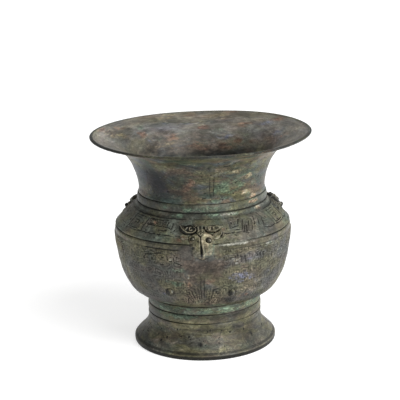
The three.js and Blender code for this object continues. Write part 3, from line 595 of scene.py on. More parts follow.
def hollow(grid, normal, su, sv):
    """How deep each point of a ring grid lies below its surroundings, about -1 to 1."""
    sm = blur(blur(grid, su, 1, True), sv, 0, False)
    d = ((sm - grid) * normal).sum(-1)
    return d


def joint_dark(outer, low, high):
    """How much each row of an outside run lies in the dark of a joint at its low or high end."""
    s = np.concatenate([[0], np.cumsum(np.hypot(*np.diff(outer, axis=0).T))])
    return np.maximum(low * (1 - step(s, 0.2, 1.25)), high * (1 - step(s[-1] - s, 0.2, 1.25)))


def crease_dark(az):
    """How black the crease under the shoulder is, round the vessel: painted shade, taken nearly away on the right where
    the light catches it.
    """
    return 1.0 - 0.92 * step(az, 6, 14) * (1 - step(az, 34, 46))


def shell(name, outer, rest, n, relief=None, inner_from=0, joints=(0.0, 0.0), bands=(), depth=0.34, sharp=48.0, marks=None):
    """A turned ring. outer is the fine outside run from low to high, rest the run over the top and down inside, back to its start."""
    prof = np.vstack([outer, rest])
    rows, m = len(prof), len(outer)
    az = np.arange(n) * 360.0 / n - 180.0
    sa, ca = np.sin(az * RAD), np.cos(az * RAD)
    grid = np.empty((rows, n, 3))
    grid[..., 0] = prof[:, 0, None] * sa
    grid[..., 1] = -prof[:, 0, None] * ca
    grid[..., 2] = prof[:, 1, None]
    tan = np.gradient(outer, axis=0)
    tan = blur(tan, 1.2, 0, False)
    tan /= np.hypot(tan[:, 0], tan[:, 1])[:, None]
    nr, nz = tan[:, 1], -tan[:, 0]
    normal = np.stack([nr[:, None] * sa, -nr[:, None] * ca, np.repeat(nz[:, None], n, 1)], -1)
    flat = grid[:m].reshape(-1, 3)
    if relief is not None:
        azz = np.broadcast_to(az, (m, n)).ravel()
        h = relief(azz, flat[:, 2], flat).reshape(m, n)
        edge = np.minimum(np.arange(m), np.arange(m)[::-1])
        h *= step(edge.astype(float), 0.5, 4.0)[:, None]
    else:
        h = np.zeros((m, n))
    # small casting flaws and corrosion
    pit = fbm(flat, 3.2, 2, 41).reshape(m, n)
    rough = (fbm(flat, 5.5, 3, 47).reshape(m, n) - 0.5) * 0.20
    h = h + (rough - 0.28 * step(pit, 0.74, 0.86)) * step(np.minimum(np.arange(m), np.arange(m)[::-1]).astype(float), 0.5, 3.0)[:, None]
    grid[:m] += normal * h[..., None]
    arc = np.hypot(*np.diff(outer, axis=0).T).mean()
    ring = 2 * math.pi * outer[:, 0].mean() / n
    cav = np.zeros((rows, n))
    cav[:m] = np.clip(hollow(grid[:m], normal, 1.9 / ring, 1.9 / arc) / depth, -1, 1)
    uneven = 0.45 + 0.55 * step(fbm(flat, 26.0, 3, 57), 0.36, 0.58).reshape(m, n)
    cav[:m] = np.maximum(cav[:m], joint_dark(outer, *joints)[:, None] * uneven)
    # painted shade in the crease under the shoulder, cleared on the right where the light catches it
    near = np.exp(-((grid[:m, :, 2] - 143.5) / 1.6) ** 4)
    cav[:m] *= 1 - near * (1 - crease_dark(az)[None, :])
    groove = step(grid[:m, :, 2], 166.0, 169.0) * (1 - step(grid[:m, :, 2], 184.0, 187.0))
    worn = step(az, 2, 14) * (1 - step(az, 50, 70))
    groove = np.maximum(0.36 * groove, 0.55 * worn[None, :] * step(grid[:m, :, 2], 30.0, 34.0) * (1 - step(grid[:m, :, 2], 58.4, 59.0)))
    cav[:m] = np.where(cav[:m] > 0, cav[:m] * (1 - groove), cav[:m])
    p = warp(grid.reshape(-1, 3))
    table_of = np.zeros((rows, n), bool)
    table_of[m + inner_from:] = True
    inside = table_of.ravel()
    vals = {k: np.zeros(rows * n) for k in PATCH_NAMES}
    for sel, table in ((~inside, PATCH_OUT), (inside, PATCH_IN)):
        if sel.any():
            for k, v in patches(grid.reshape(-1, 3)[sel], table).items():
                vals[k][sel] = v
    if marks is not None:
        dirt, green = marks(np.broadcast_to(az, (m, n)).ravel(), flat[:, 2])
        vals["dark"][:m * n] = np.maximum(vals["dark"][:m * n], dirt)
        vals["green"][:m * n] *= green
        # directions round and along the wall, for patina that runs round the mouth
        s = np.concatenate([[0], np.cumsum(np.hypot(*np.diff(prof, axis=0).T))])
        vals["fx"], vals["fy"], vals["fs"] = np.tile(0.036 * sa, rows), np.tile(-0.036 * ca, rows), np.repeat(s * 0.001, n)
    vals["cav"] = cav.ravel()
    # within: how much the inner skin is lightened; it falls from the rim towards the bottom of the neck as painted
    # shade deeper inside
    vals["within"] = inside * (0.15 + 0.85 * step(p[:, 2], 208.0, 236.0))
    for key, z0, z1, r0, amount in bands:
        zz, rr = grid[..., 2].ravel(), np.hypot(grid[..., 0], grid[..., 1]).ravel()
        m2 = step(zz, z0 - 0.3, z0 + 0.3) * (1 - step(zz, z1 - 0.3, z1 + 0.3)) * (rr > r0)
        vals[key] = np.maximum(vals[key], amount * m2)
    quads = [ring_faces(i * n, ((i + 1) % rows) * n, n) for i in range(rows)]
    return make_mesh(name, p, np.zeros((0, 3), int), np.vstack(quads), vals, sharp)


def run(points, gap):
    return fine(points, gap, smooth=False)


def chain(*runs):
    """Runs of points joined end to end without doubled points."""
    out = [runs[0]]
    for r in runs[1:]:
        out.append(r[1:] if np.hypot(*(r[0] - out[-1][-1])) < 1e-6 else r)
    return np.vstack(out)


# mouth and neck: outside from the joint up to the rim, then over the lip, down inside, and the spigot
neck_out = fine(part_of_out(182.0, 250.0)[:-1], 0.85)
neck_rest = chain(
    np.array([(128.1, 249.5), (127.7, 249.95), (127.0, 250.0), (124.8, 250.0), (124.0, 249.6), (123.6, 249.3)]),
    fine([(123.6, 249.3), (118.4, 247.9), (105.8, 243.2), (94, 236.8), (85.7, 229.4), (80.2, 221.2), (75.9, 211.4), (72.8, 202), (71.1, 193), (70.8, 186.5), (69.9, 183)], 1.3),
    run([(69.9, 183), (69.9, 174.3)], 3.0),
    np.array([(70.2, 174.0), (71.6, 174.0), (71.9, 174.3), (71.9, 178), (71.9, 182.0), (73.0, 182.0)]))

# shoulder: outside from the crease up the slope to the string bands, then the hidden joint face and the inside
sh_out = fine(part_of_out(143.6, 181.7), 0.44)
sh_rest = chain(
    np.array([(73.4, 181.7), (72.2, 181.7), (72.2, 180), (73.4, 180), (73.4, 176), (72.2, 176), (72.2, 173.4)]),
    run([(72.2, 173.4), (73.4, 170), (76.6, 165.6), (82, 160.8), (92.8, 150.8), (96.4, 146.9), (97.6, 145), (97.6, 137.2)], 2.2),
    np.array([(97.9, 136.9), (99.4, 136.9), (99.7, 137.2), (99.7, 140), (99.7, 143.5), (100.7, 143.5)]))

# belly: floor under, foot spigot, outside, joint face, inside and floor
be_out = fine(part_of_out(58.35, 143.36), 0.72)
be_rest = chain(
    np.array([(100.8, 143.36), (100, 143.36), (100, 142), (101.1, 142), (101.1, 138), (100, 138)]),
    run([(100, 138), (100, 131), (98.6, 117), (96.7, 105), (94.5, 96.6), (91.6, 88), (87.6, 79.6), (83.9, 73.8), (79, 68.2), (72.5, 64.2), (62, 61.2), (40, 59.3), (20, 58.8), (6, 58.62)], 3.6))
be_start = chain(run([(6, 55.2), (40, 55.2), (60.5, 55.2)], 6.0), np.array([(60.8, 54.9), (60.8, 52.0), (61.1, 51.8), (63.1, 51.8), (63.3, 52.1), (63.3, 55.0), (63.3, 58.3), (64.8, 58.3)]))

# foot: outside from the lip to the joint, then the inside
fo_out = fine(part_of_out(0.9, 57.9), 0.62)
fo_rest = chain(
    np.array([(64.9, 58.0), (63.6, 58.0), (63.6, 57), (64.7, 57), (64.7, 53), (63.6, 53)]),
    run([(63.6, 53), (63.6, 30.5), (64.9, 23.5), (68.2, 17), (74, 10.6), (79.3, 5.4), (79.8, 0.6)], 2.2),
    np.array([(80.3, 0.05), (81.0, 0.0), (82.2, 0.0), (83.4, 0.0), (84.0, 0.2)]))

neck = shell("zun_mouth_and_neck", neck_out, neck_rest, 600, neck_relief, inner_from=4, joints=(0.7, 0.0), bands=(("dark", 247.6, 252.5, 126.2, 0.60),), marks=neck_marks)
shoulder = shell("zun_shoulder", sh_out, sh_rest, 1200, shoulder_relief, joints=(0.95, 0.6), depth=0.26)


def belly_shell():
    """The bowl: its hidden underside and spigot come before the outside run."""
    n = 960
    prof = np.vstack([be_start, be_out, be_rest])
    a, m = len(be_start), len(be_out)
    rows = len(prof)
    az = np.arange(n) * 360.0 / n - 180.0
    sa, ca = np.sin(az * RAD), np.cos(az * RAD)
    grid = np.empty((rows, n, 3))
    grid[..., 0], grid[..., 1], grid[..., 2] = prof[:, 0, None] * sa, -prof[:, 0, None] * ca, prof[:, 1, None]
    tan = blur(np.gradient(be_out, axis=0), 1.2, 0, False)
    tan /= np.hypot(tan[:, 0], tan[:, 1])[:, None]
    nr, nz = tan[:, 1], -tan[:, 0]
    normal = np.stack([nr[:, None] * sa, -nr[:, None] * ca, np.repeat(nz[:, None], n, 1)], -1)
    flat = grid[a:a + m].reshape(-1, 3)
    azz = np.broadcast_to(az, (m, n)).ravel()
    h = belly_relief(azz, flat[:, 2], flat).reshape(m, n)
    pit = fbm(flat, 3.2, 2, 41).reshape(m, n)
    h += (fbm(flat, 5.5, 3, 47).reshape(m, n) - 0.5) * 0.22 - 0.30 * step(pit, 0.74, 0.86)
    edge = np.minimum(np.arange(m), np.arange(m)[::-1]).astype(float)
    h *= step(edge, 0.5, 4.0)[:, None]
    grid[a:a + m] += normal * h[..., None]
    arc = np.hypot(*np.diff(be_out, axis=0).T).mean()
    ring = 2 * math.pi * 95.0 / n
    cav = np.zeros((rows, n))
    cav[a:a + m] = np.clip(hollow(grid[a:a + m], normal, 2.2 / ring, 2.2 / arc) / 0.20, -1, belly_limit(azz, flat[:, 2]).reshape(m, n))
    uneven = 0.45 + 0.55 * step(fbm(flat, 26.0, 3, 57), 0.36, 0.58).reshape(m, n)
    cav[a:a + m] = np.maximum(cav[a:a + m], joint_dark(be_out, 0.42, 0.95)[:, None] * uneven)
    # painted shade in the crease under the shoulder, cleared on the right where the light catches it
    near = np.exp(-((grid[a:a + m, :, 2] - 143.5) / 1.6) ** 4)
    cav[a:a + m] *= 1 - near * (1 - crease_dark(az)[None, :])
    p = warp(grid.reshape(-1, 3))
    inside = np.zeros((rows, n), bool)
    inside[a + m:] = True
    inside = inside.ravel()
    vals = {k: np.zeros(rows * n) for k in PATCH_NAMES}
    for sel, table in ((~inside, PATCH_OUT), (inside, PATCH_IN)):
        for k, v in patches(grid.reshape(-1, 3)[sel], table).items():
            vals[k][sel] = v
    vals["cav"], vals["within"] = cav.ravel(), inside * 0.1
    c = len(p)
    p = np.vstack([p, [[0, 0, 55.2]], [[0, 0, 58.6]]])
    j = np.arange(n)
    k2 = (j + 1) % n
    last = (rows - 1) * n
    tris = np.vstack([np.stack([k2, j, np.full(n, c)], -1), np.stack([last + j, last + k2, np.full(n, c + 1)], -1)])
    for k in vals:
        vals[k] = np.concatenate([vals[k], [vals[k][0], vals[k][last]]])
    quads = np.vstack([ring_faces(i * n, (i + 1) * n, n) for i in range(rows - 1)])
    return make_mesh("zun_belly_bowl", p, tris, quads, vals, 48.0)


belly = belly_shell()
foot = shell("zun_foot_ring", fo_out, fo_rest, 560, foot_relief, joints=(0.0, 0.42), bands=(("dark", -1.0, 4.4, 60.0, 0.82), ("pale", 4.7, 5.6, 60.0, 0.24), ("dark", 5.7, 8.2, 60.0, 0.60), ("green", 49.6, 57.4, 60.0, 0.58)))

# ------------------------------------------------------------------ animal heads
# Each head is sculpted over its own plane: u across, v up the face, w out of it, in millimetres.
HEAD_R, HEAD_Z, TILT_R, TILT_Z = 93.5, 147.6, 0.840, 0.542

FACE = spline([(2.0, 9.5), (7.0, 8.4), (11.5, 6.2), (14.6, 3.2), (15.9, -1.0), (15.8, -6.0), (14.9, -11.5), (13.7, -16.2), (11.2, -19.4), (6.6, -21.6), (3.0, -22.9), (0.6, -23.2),
               (-2.6, -22.0), (-7.6, -20.8), (-10.4, -18.0), (-12.2, -13.4), (-13.6, -9.0), (-14.9, -4.6), (-15.4, -0.6), (-14.6, 3.0), (-11.0, 6.0), (-6.4, 8.4), (-2.0, 9.5)], closed=True, per=5)
HORN_L = spline([(-23.6, 17.0), (-24.6, 14.0), (-24.2, 11.0), (-21.8, 7.8), (-18.6, 5.6), (-14.0, 4.5), (-9.4, 4.6), (-7.0, 5.9), (-5.2, 8.6), (-5.0, 10.7), (-5.8, 12.4), (-8.8, 14.9), (-11.8, 16.7), (-14.3, 16.5),
                 (-17.1, 15.6), (-19.9, 16.6)], closed=True, per=6)
HORN_R = spline([(3.2, 13.3), (4.4, 14.8), (7.8, 15.0), (10.5, 15.8), (15.7, 16.3), (20.0, 16.1), (24.4, 14.8), (21.4, 10.9), (17.6, 7.8), (14.4, 6.4), (10.4, 6.7), (6.8, 7.2), (4.6, 9.1), (3.3, 11.2)], closed=True, per=6)
BRIDGE = spline([(-6.4, 12.4), (-4.6, 14.4), (-1.0, 15.6), (1.6, 15.8), (3.6, 14.4), (3.6, 11.0), (4.6, 8.6), (4.4, 6.2), (1.0, 5.0), (-3.0, 5.0), (-6.6, 5.6), (-5.6, 9.0)], closed=True, per=5)
EAR_R = spline([(12.6, 4.8), (17.4, 7.6), (21.1, 9.8), (23.8, 8.2), (25.1, 4.7), (24.3, 1.4), (21.0, 0.0), (16.4, -2.4), (12.0, -1.6)], closed=True, per=6)
EAR_L = spline([(-23.9, 3.7), (-20.4, 6.0), (-17.6, 4.8), (-14.8, 3.4), (-14.6, -0.8), (-17.4, -1.6), (-19.0, -1.9), (-21.8, -1.2), (-23.6, 0.8)], closed=True, per=6)
EYES = ((-10.2, -1.3, 1.8), (8.0, -3.6, 2.45))


def body_level(u, v):
    """Height w of the vessel's own surface under each point of the head's plane."""
    lo, hi = np.full(u.shape, -30.0), np.full(u.shape, 20.0)
    for _ in range(38):
        mid = (lo + hi) / 2
        rad = HEAD_R - TILT_Z * v + TILT_R * mid
        z = HEAD_Z + TILT_R * v + TILT_Z * mid
        out = np.hypot(rad, u) > radius_at(z)
        hi = np.where(out, mid, hi)
        lo = np.where(out, lo, mid)
    return (lo + hi) / 2


def round_edge(d, width):
    t = np.clip(d / width, 0, 1)
    return np.sqrt(np.clip(1 - (1 - t) ** 2, 0, 1))


def cut(w, d, width, depth):
    return w - depth * np.exp(-(d / (width * 0.6)) ** 2)


def bead(w, d, width, height):
    return w + height * np.exp(-(d / (width * 0.6)) ** 2)


# (strength, line) of the thin ridges on each horn
RIDGES_L = ((1.0, spline([(-23.3, 16.1), (-22.3, 14.1), (-20.8, 11.2), (-18.9, 9.0), (-17.2, 7.8)])), (0.75, spline([(-17.2, 7.6), (-16.0, 6.7), (-13.1, 6.1), (-9.4, 6.1), (-7.0, 7.7), (-6.0, 9.5), (-6.6, 11.3), (-8.4, 13.0)])),
            (0.55, spline([(-20.6, 14.9), (-19.5, 12.2), (-17.9, 9.6)])), (0.6, [(-17.3, 10.6), (-15.4, 13.0)]), (1.0, spline([(-11.4, 12.6), (-12.8, 11.9), (-13.2, 10.4), (-12.8, 9.0), (-11.6, 8.5), (-10.6, 9.2)])))
RIDGES_R = ((0.7, spline([(4.1, 11.4), (4.6, 9.8), (5.6, 8.7), (7.6, 7.9), (12.0, 7.8), (15.6, 8.6), (19.0, 10.8)])), (0.8, spline([(7.4, 12.6), (7.8, 10.2), (8.9, 9.4), (9.8, 10.8), (9.4, 12.8)])), (0.7, [(13.3, 13.0), (13.5, 8.8)]),
            (0.4, [(16.6, 12.6), (21.6, 13.6)]))
CUTS_R = (spline([(5.9, 12.2), (6.3, 10.1), (7.2, 8.9)]), [(11.4, 12.6), (11.7, 9.4)], spline([(6.0, 14.0), (10.0, 14.4), (15.6, 14.9)]), [(15.2, 11.6), (18.8, 12.0)])
CROSS = (spline([(-8.8, 15.2), (-5.9, 12.5), (-5.0, 8.8), (-6.2, 6.0)]), spline([(0.9, 16.0), (-3.3, 14.6), (-5.9, 12.4)]), spline([(-6.3, 5.5), (-4.2, 2.8), (-2.1, 0.3), (-0.9, -1.0)]), spline([(-1.8, 7.1), (-3.6, 5.6), (-5.9, 5.2)]), [(-1.7, 13.9), (-1.6, 10.6)])
WEB = ([(-3.9, 13.0), (-3.3, 10.2), (-2.9, 7.8)], [(0.7, 14.0), (0.8, 9.4), (0.9, 7.2)])
NOSE_R = spline([(0.4, 0.4), (0.6, -1.4), (0.8, -5.9), (1.7, -11.0), (2.4, -16.2), (2.8, -21.3), (3.2, -23.0)])
RIDGE_N = spline([(-4.6, 2.0), (-3.8, 1.0), (-2.5, -1.1), (-1.8, -3.7), (-1.8, -6.8), (-2.2, -9.0)])
BROW_R = spline([(1.4, 1.6), (3.2, 3.0), (6.4, 3.6), (10.2, 2.6), (13.0, 0.2), (14.0, -3.0)])
BROW_L = spline([(-4.6, 2.2), (-7.6, 3.0), (-11.4, 2.4), (-14.4, 0.6)])
CURL_L = spline([(-12.0, -11.4), (-11.9, -13.6), (-10.2, -15.2), (-7.6, -15.0), (-6.2, -12.8), (-7.0, -10.4), (-9.4, -9.6)])
EAR_CUT_R, EAR_CUT_L = spline([(23.6, 6.2), (22.6, 3.2), (21.2, 1.4)]), spline([(-16.0, 1.0), (-18.8, 1.6), (-21.6, 2.6)])
FACE_PITS = ((-9.5, -11.6, 1.6, 1.0), (-3.9, -5.3, 1.15, 0.85), (9.4, -12.2, 0.8, 0.5), (8.4, -16.3, 0.8, 0.45), (5.4, -12.7, 0.7, 0.45), (11.4, -10.6, 0.8, 0.5), (-6.6, -8.0, 0.7, 0.45), (-7.6, -17.4, 0.9, 0.5), (12.4, -15.2, 0.8, 0.4), (4.6, -8.6, 0.6, 0.35))


def slot_at(v):
    """Middle and half width of the slot left of the nose."""
    return np.interp(v, [-22, -19.2, -13.6, -10.0, -5.8, 0.4], [-0.2, -0.1, 0.0, -0.5, -0.8, -0.8]), np.interp(v, [-21.5, -19.5, -14.0, -11.5, -8.5, 1.0], [0.9, 1.25, 1.35, 0.95, 0.5, 0.5])


def gauss(d, w):
    return np.exp(-(d / w) ** 2)


def eye_glint(u, v):
    """A painted highlight on the right of each eye."""
    (lx, ly, _), (rx, ry, _) = EYES
    return np.maximum(1.0 * gauss(np.hypot(u - lx - 1.6, v - ly + 0.5), 0.80), gauss(np.hypot((u - rx - 1.9) / 0.9, v - ry + 0.2), 1.05))


def head_dirt_shade_and_highlight(u, v, df, dl, dr, db, d1, d2, seed):
    """Black in a head's cuts, partly dirt and partly painted shade, and light ridges, partly rubbed wear and partly
    painted highlight, both from 0 to 1.
    """
    ink, lit = np.zeros_like(u), np.zeros_like(u)

    def both(dark=None, light=None):
        if dark is not None:
            np.maximum(ink, dark, out=ink)
        if light is not None:
            np.maximum(lit, light, out=lit)

    # left horn black between its ridges, right horn clean with thin cuts
    left = np.max([k * gauss(line_dist(u, v, r), 0.60) for k, r in RIDGES_L], 0)
    on = step(dl, -0.2, 0.4)
    both((0.98 if seed == 1 else 0.5) * on * (1 - np.clip(left * 1.25, 0, 1)), 1.0 * left * on)
    # black rim round the left horn: partly dirt, partly painted shade where the horn stands proud
    both(0.95 * np.where(v < 9.5, gauss(dl + 0.2, 0.75), gauss(dl + 0.1, 0.6)))
    on = step(dr, 0.0, 0.5)
    near = np.max([k * gauss(line_dist(u, v, r), 0.62) for k, r in RIDGES_R], 0)
    both(0.30 * on * (1 - near), 0.60 * on * near)
    for c in CUTS_R:
        both(0.90 * on * gauss(line_dist(u, v, c), 0.7))
    # dark line along the right horn's edge, heavier on its inner part: partly dirt, partly painted shade under the horn
    both(np.where(u < 17.5, 0.60, 0.4) * gauss(dr + 0.2, 0.50))
    # between the horns
    inb = step(db, 0.0, 0.8) * (1 - step(dl, -0.4, 0.2)) * (1 - step(dr, -0.4, 0.2))
    web = np.max([gauss(line_dist(u, v, c), 0.8) for c in WEB], 0)
    both(0.55 * inb * (1 - web), 0.35 * web * inb)
    for c in CROSS:
        both(0.9 * gauss(line_dist(u, v, c), 0.62))
    both(1.0 * np.exp(-(((u - 2.5) / 0.75) ** 2 + ((v - 12.1) / 1.5) ** 2) ** 2))
    for x, y, a, b in ((-0.8, 3.9, 2.3, 2.6), (-6.3, 15.5, 1.6, 1.7)):
        q = np.abs(u - x) / a + np.abs(v - y) / b
        both(0.80 * gauss(q - 1.45, 0.20), 0.95 * gauss(q - 0.90, 0.24))
        both(0.95 * gauss(np.hypot(u - x, v - y), 0.75))
    # slot, nose and the thin ridge left of it; the slot's black is a painted shadow cast by the nose, and the light on
    # the nose's right side is a painted highlight
    mid, half = slot_at(v)
    both(0.97 * np.exp(-((u - mid) / (half * 1.0)) ** 4) * step(v, -21.6, -19.4) * (1 - step(v, 0.0, 1.6)))
    both(0.60 * gauss(u - mid, 1.2) * step(v, -23.2, -22.2) * (1 - step(v, -21.0, -19.5)))
    both(None, 0.9 * gauss(line_dist(u, v, NOSE_R), 0.95))
    both(None, 0.75 * gauss(line_dist(u, v, RIDGE_N), 0.55))
    both(None, 0.55 * gauss(line_dist(u, v, BROW_R), 0.9))
    both(None, 0.30 * gauss(line_dist(u, v, BROW_L), 0.7))
    both(None, 0.40 * gauss(line_dist(u, v, CURL_L), 0.6))
    for ex, ey, er in EYES:
        d = np.hypot(u - ex, v - ey)
        both(0.96 * np.exp(-(d / (er * 1.05)) ** 6), (0.45 if ex > 0 else 0.25) * gauss(d - er - 1.6, 0.8))
    # a dark patch left of the left eye is painted shadow at the face's edge; the next line darkens the face's left edge
    both(0.62 * np.exp(-(((u + 14.6) / 2.0) ** 2 + ((v + 2.6) / 2.8) ** 2) ** 1.5))
    both(0.85 * gauss(line_dist(u, v, spline([(-13.4, -6.0), (-13.1, -11.7), (-12.4, -17.4)])), 1.0))
    for x, y, r, k in FACE_PITS:
        both(k * np.exp(-(np.hypot(u - x, v - y) / r) ** 4))
    both(None, 0.9 * gauss(line_dist(u, v, spline([(-2.6, -21.6), (-0.3, -22.2), (2.9, -21.8)])), 0.85))
    # ears
    rim = 0.08 if seed == 1 else 0.95
    both(rim * gauss(d1 - 0.1, 0.7) * step(np.abs(u), 15.0, 17.0), 0.40 * step(d1, 0.3, 1.2) + 0.5 * gauss(line_dist(u, v, [(13.6, 4.2), (17.6, 6.6), (20.9, 9.0)]), 0.8))
    both(rim * gauss(d2 - 0.1, 0.7) * step(np.abs(u), 15.0, 17.0), 0.12 * step(d2, 0.3, 1.2))
    both(0.95 * gauss(line_dist(u, v, EAR_CUT_R), 0.95))
    both((0.15 if seed == 1 else 0.7) * gauss(line_dist(u, v, EAR_CUT_L), 0.8))
    return ink * (1 - eye_glint(u, v)), lit


def head_field(u, v, seed):
    au = np.abs(u + 0.6)
    base = body_level(u, v)
    low = base - 0.8
    # face: two planes that fall away from the nose, bending back to the belly at the muzzle
    crown = np.interp(v, [-24.0, -22.6, -21.0, -18.5, -15.0, -10.0, -4.0, 2.0, 6.0, 10.0], [-1.6, 1.0, 3.8, 6.6, 8.8, 10.5, 11.1, 10.3, 8.8, 6.8])
    crown = crown - 0.235 * au - 0.005 * au ** 2
    df = inside_dist(u, v, FACE)
    crown = crown + np.interp(v, [-24, -22, -17, -11, -5, -1, 1], [0.6, 1.6, 2.3, 2.0, 1.2, 0.7, 0.0]) * np.exp(-(line_dist(u, v, NOSE_R) / 1.1) ** 3)
    crown = bead(crown, line_dist(u, v, RIDGE_N), 0.9, 0.85)
    slot_u, slot_w = slot_at(v)
    slot_d = np.interp(v, [-22.8, -21.0, -16.0, -10.0, -2.0, 2.0], [0.0, 2.0, 3.6, 2.2, 1.25, 0.0])
    crown = crown - slot_d * np.exp(-((u - slot_u) / slot_w) ** 4)
    # nostril swellings and the mouth line
    crown = crown + 0.7 * np.exp(-((u - 5.2) / 2.2) ** 2 - ((v + 19.4) / 2.0) ** 2) + 0.6 * np.exp(-((u + 5.2) / 2.6) ** 2 - ((v + 18.4) / 2.0) ** 2)
    crown = cut(crown, line_dist(u, v, spline([(-1.2, -19.8), (-5.2, -19.2), (-8.6, -17.0)])), 0.8, 0.5)
    crown = bead(crown, line_dist(u, v, BROW_R), 1.6, 0.8)
    crown = bead(crown, line_dist(u, v, BROW_L), 1.4, 0.7)
    # cheeks: a small curl round a pit on the left, worn pits on the right
    crown = bead(crown, line_dist(u, v, CURL_L), 1.1, 0.55)
    for x, y, r, k in FACE_PITS:
        crown = crown - 0.95 * k * gauss(np.hypot(u - x, v - y), r)
    # lozenge on the forehead with a sunk dot
    q = np.abs(u + 0.8) / 2.3 + np.abs(v - 3.9) / 2.6
    crown = crown + 0.85 * gauss(q - 0.90, 0.24) - 0.8 * gauss(np.hypot(u + 0.8, v - 3.9), 0.85) - 0.7 * gauss(q - 1.45, 0.20)
    # eyes: sunk ring with a low rim, round boss
    de = np.full(u.shape, 9.0)
    for ex, ey, er in EYES:
        d = np.hypot(u - ex, v - ey)
        crown = crown - 0.9 * gauss(d - er - 0.4, 0.55) + 0.45 * gauss(d - er - 1.7, 0.8)
        crown = np.where(d < er, np.maximum(crown, crown - 0.4 + 1.35 * er * np.sqrt(np.clip(1 - (d / er) ** 2, 0, 1))), crown)
        de = np.minimum(de, d / er)
    soft = np.interp(v, [-22.0, -15.0, -7.0, 2.0], [3.6, 6.0, 9.0, 7.0])
    face = np.where(df > 0, low + (crown - low) * step(df, -0.6 * soft, soft) ** 1.4, low)
    face = np.where(df > 0, low + (face - low) * round_edge(df, 1.6), low)
    # between the horns: a low web with crossing cuts and a deep pit
    db = inside_dist(u, v, BRIDGE)
    web = base + 2.6
    for line in WEB:
        web = bead(web, line_dist(u, v, line), 1.2, 0.7)
    web = web - 1.8 * np.exp(-(((u - 2.5) / 0.85) ** 2 + ((v - 12.1) / 1.6) ** 2) ** 2)
    bridge = np.where(db > 0, low + (web - low) * round_edge(db, 1.2), low)
    ql = np.abs(u + 6.3) / 1.6 + np.abs(v - 15.5) / 1.7
    knob = np.where(ql < 1.3, low + (base + 2.4 - low) * round_edge(1.3 - ql, 0.5) - 0.9 * gauss(np.hypot(u + 6.3, v - 15.5), 0.7), low)
    # horns: comma shapes lying back on the shoulder, thin ridges round a curl
    vh = np.where(v > 12.0, 12.0 + (v - 12.0) / 2.0, v) if seed > 1 else v
    dl = inside_dist(u, vh, HORN_L)
    horn = base + np.interp(-u, [4, 10, 16, 24.4], [3.3, 3.4, 3.1, 2.4] if seed == 1 else [4.2, 4.4, 4.0, 3.0])
    rise = np.interp(vh, [4, 9, 13, 17], [0.8, 1.2, 1.9, 2.3]) if seed > 1 else 0.0
    horn = horn + rise
    for k, line in RIDGES_L:
        horn = bead(horn, line_dist(u, vh, line), 1.0, 1.5 * k)
    horn_l = np.where(dl > 0, low + (horn - low) * round_edge(dl, 1.1), low)
    dr = inside_dist(u, vh, HORN_R)
    horn = base + rise + np.interp(u, [3, 9, 15, 24.4], [3.6, 3.7, 3.3, 2.4] if seed == 1 else [4.6, 4.7, 4.2, 3.0])
    for k, line in RIDGES_R:
        horn = bead(horn, line_dist(u, vh, line), 1.1, 1.0 * k)
    for line in CUTS_R:
        horn = cut(horn, line_dist(u, vh, line), 0.9, 0.9)
    horn_r = np.where(dr > 0, low + (horn - low) * round_edge(dr, 2.0 if seed == 1 else 1.3), low)
    # ears: leaves with a hollow
    d1 = inside_dist(u, v, EAR_R)
    ear = cut(base + np.interp(u, [14, 18, 21, 24.5], [1.8, 2.0, 2.4, 4.6]), line_dist(u, v, EAR_CUT_R), 1.3, 1.6)
    ear = cut(ear, line_dist(u, v, spline([(15.6, 2.4), (18.4, 4.2), (20.6, 5.6)])), 1.2, 0.3)
    ear_r = np.where(d1 > 0, low + (ear - low) * round_edge(d1, 1.5), low)
    d2 = inside_dist(u, v, EAR_L)
    ear = cut(base + np.interp(-u, [14, 18, 21, 24], [1.2, 1.3, 1.6, 1.8] if seed == 1 else [1.6, 1.8, 2.2, 4.6]), line_dist(u, v, EAR_CUT_L), 1.4, 0.4 if seed == 1 else 1.4)
    ear_l = np.where(d2 > 0, low + (ear - low) * round_edge(d2, 1.6), low)
    w = np.maximum.reduce([face, bridge, knob, horn_l, horn_r, ear_l, ear_r])
    if seed > 1:
        # round curled ear tips, seen in outline
        for x, y in ((22.6, 4.6), (-21.6, 3.2)):
            d = np.hypot(u - x, v - y)
            w = np.maximum(w, np.where(d < 2.8, base + 2.8 + np.sqrt(np.clip(2.8 ** 2 - d ** 2, 0, None)), low))
            # the low root that joins each tip to its horn
            d = np.hypot((u - x * 0.96) / 1.1, v - y - 4.0)
            w = np.maximum(w, np.where(d < 3.0, base + 1.2 + np.sqrt(np.clip(3.0 ** 2 - d ** 2, 0, None)), low))
    for line in CROSS:
        w = np.where((dl <= 0.3) & (dr <= 0.3), cut(w, line_dist(u, v, line), 1.0, 0.9), w)
    # cut line round the horns, where they lie against the face
    for d in (dl, dr):
        w = np.where((d <= 0) & (df > 0), cut(w, -d, 1.2, 1.2), w)
    p = np.stack([u, v, np.full_like(u, 3.0 * seed)], -1)
    age = (fbm(p, 6.0, 3, 200 + seed) - 0.5) * 0.45 + (fbm(p, 1.9, 2, 230 + seed) - 0.5) * 0.30
    w = np.where(w > base, w + age * step(w - base, 0.0, 1.5), w)
    return np.maximum(w, low), low, de, base, head_dirt_shade_and_highlight(u, vh, df, dl, dr, db, d1, d2, seed)


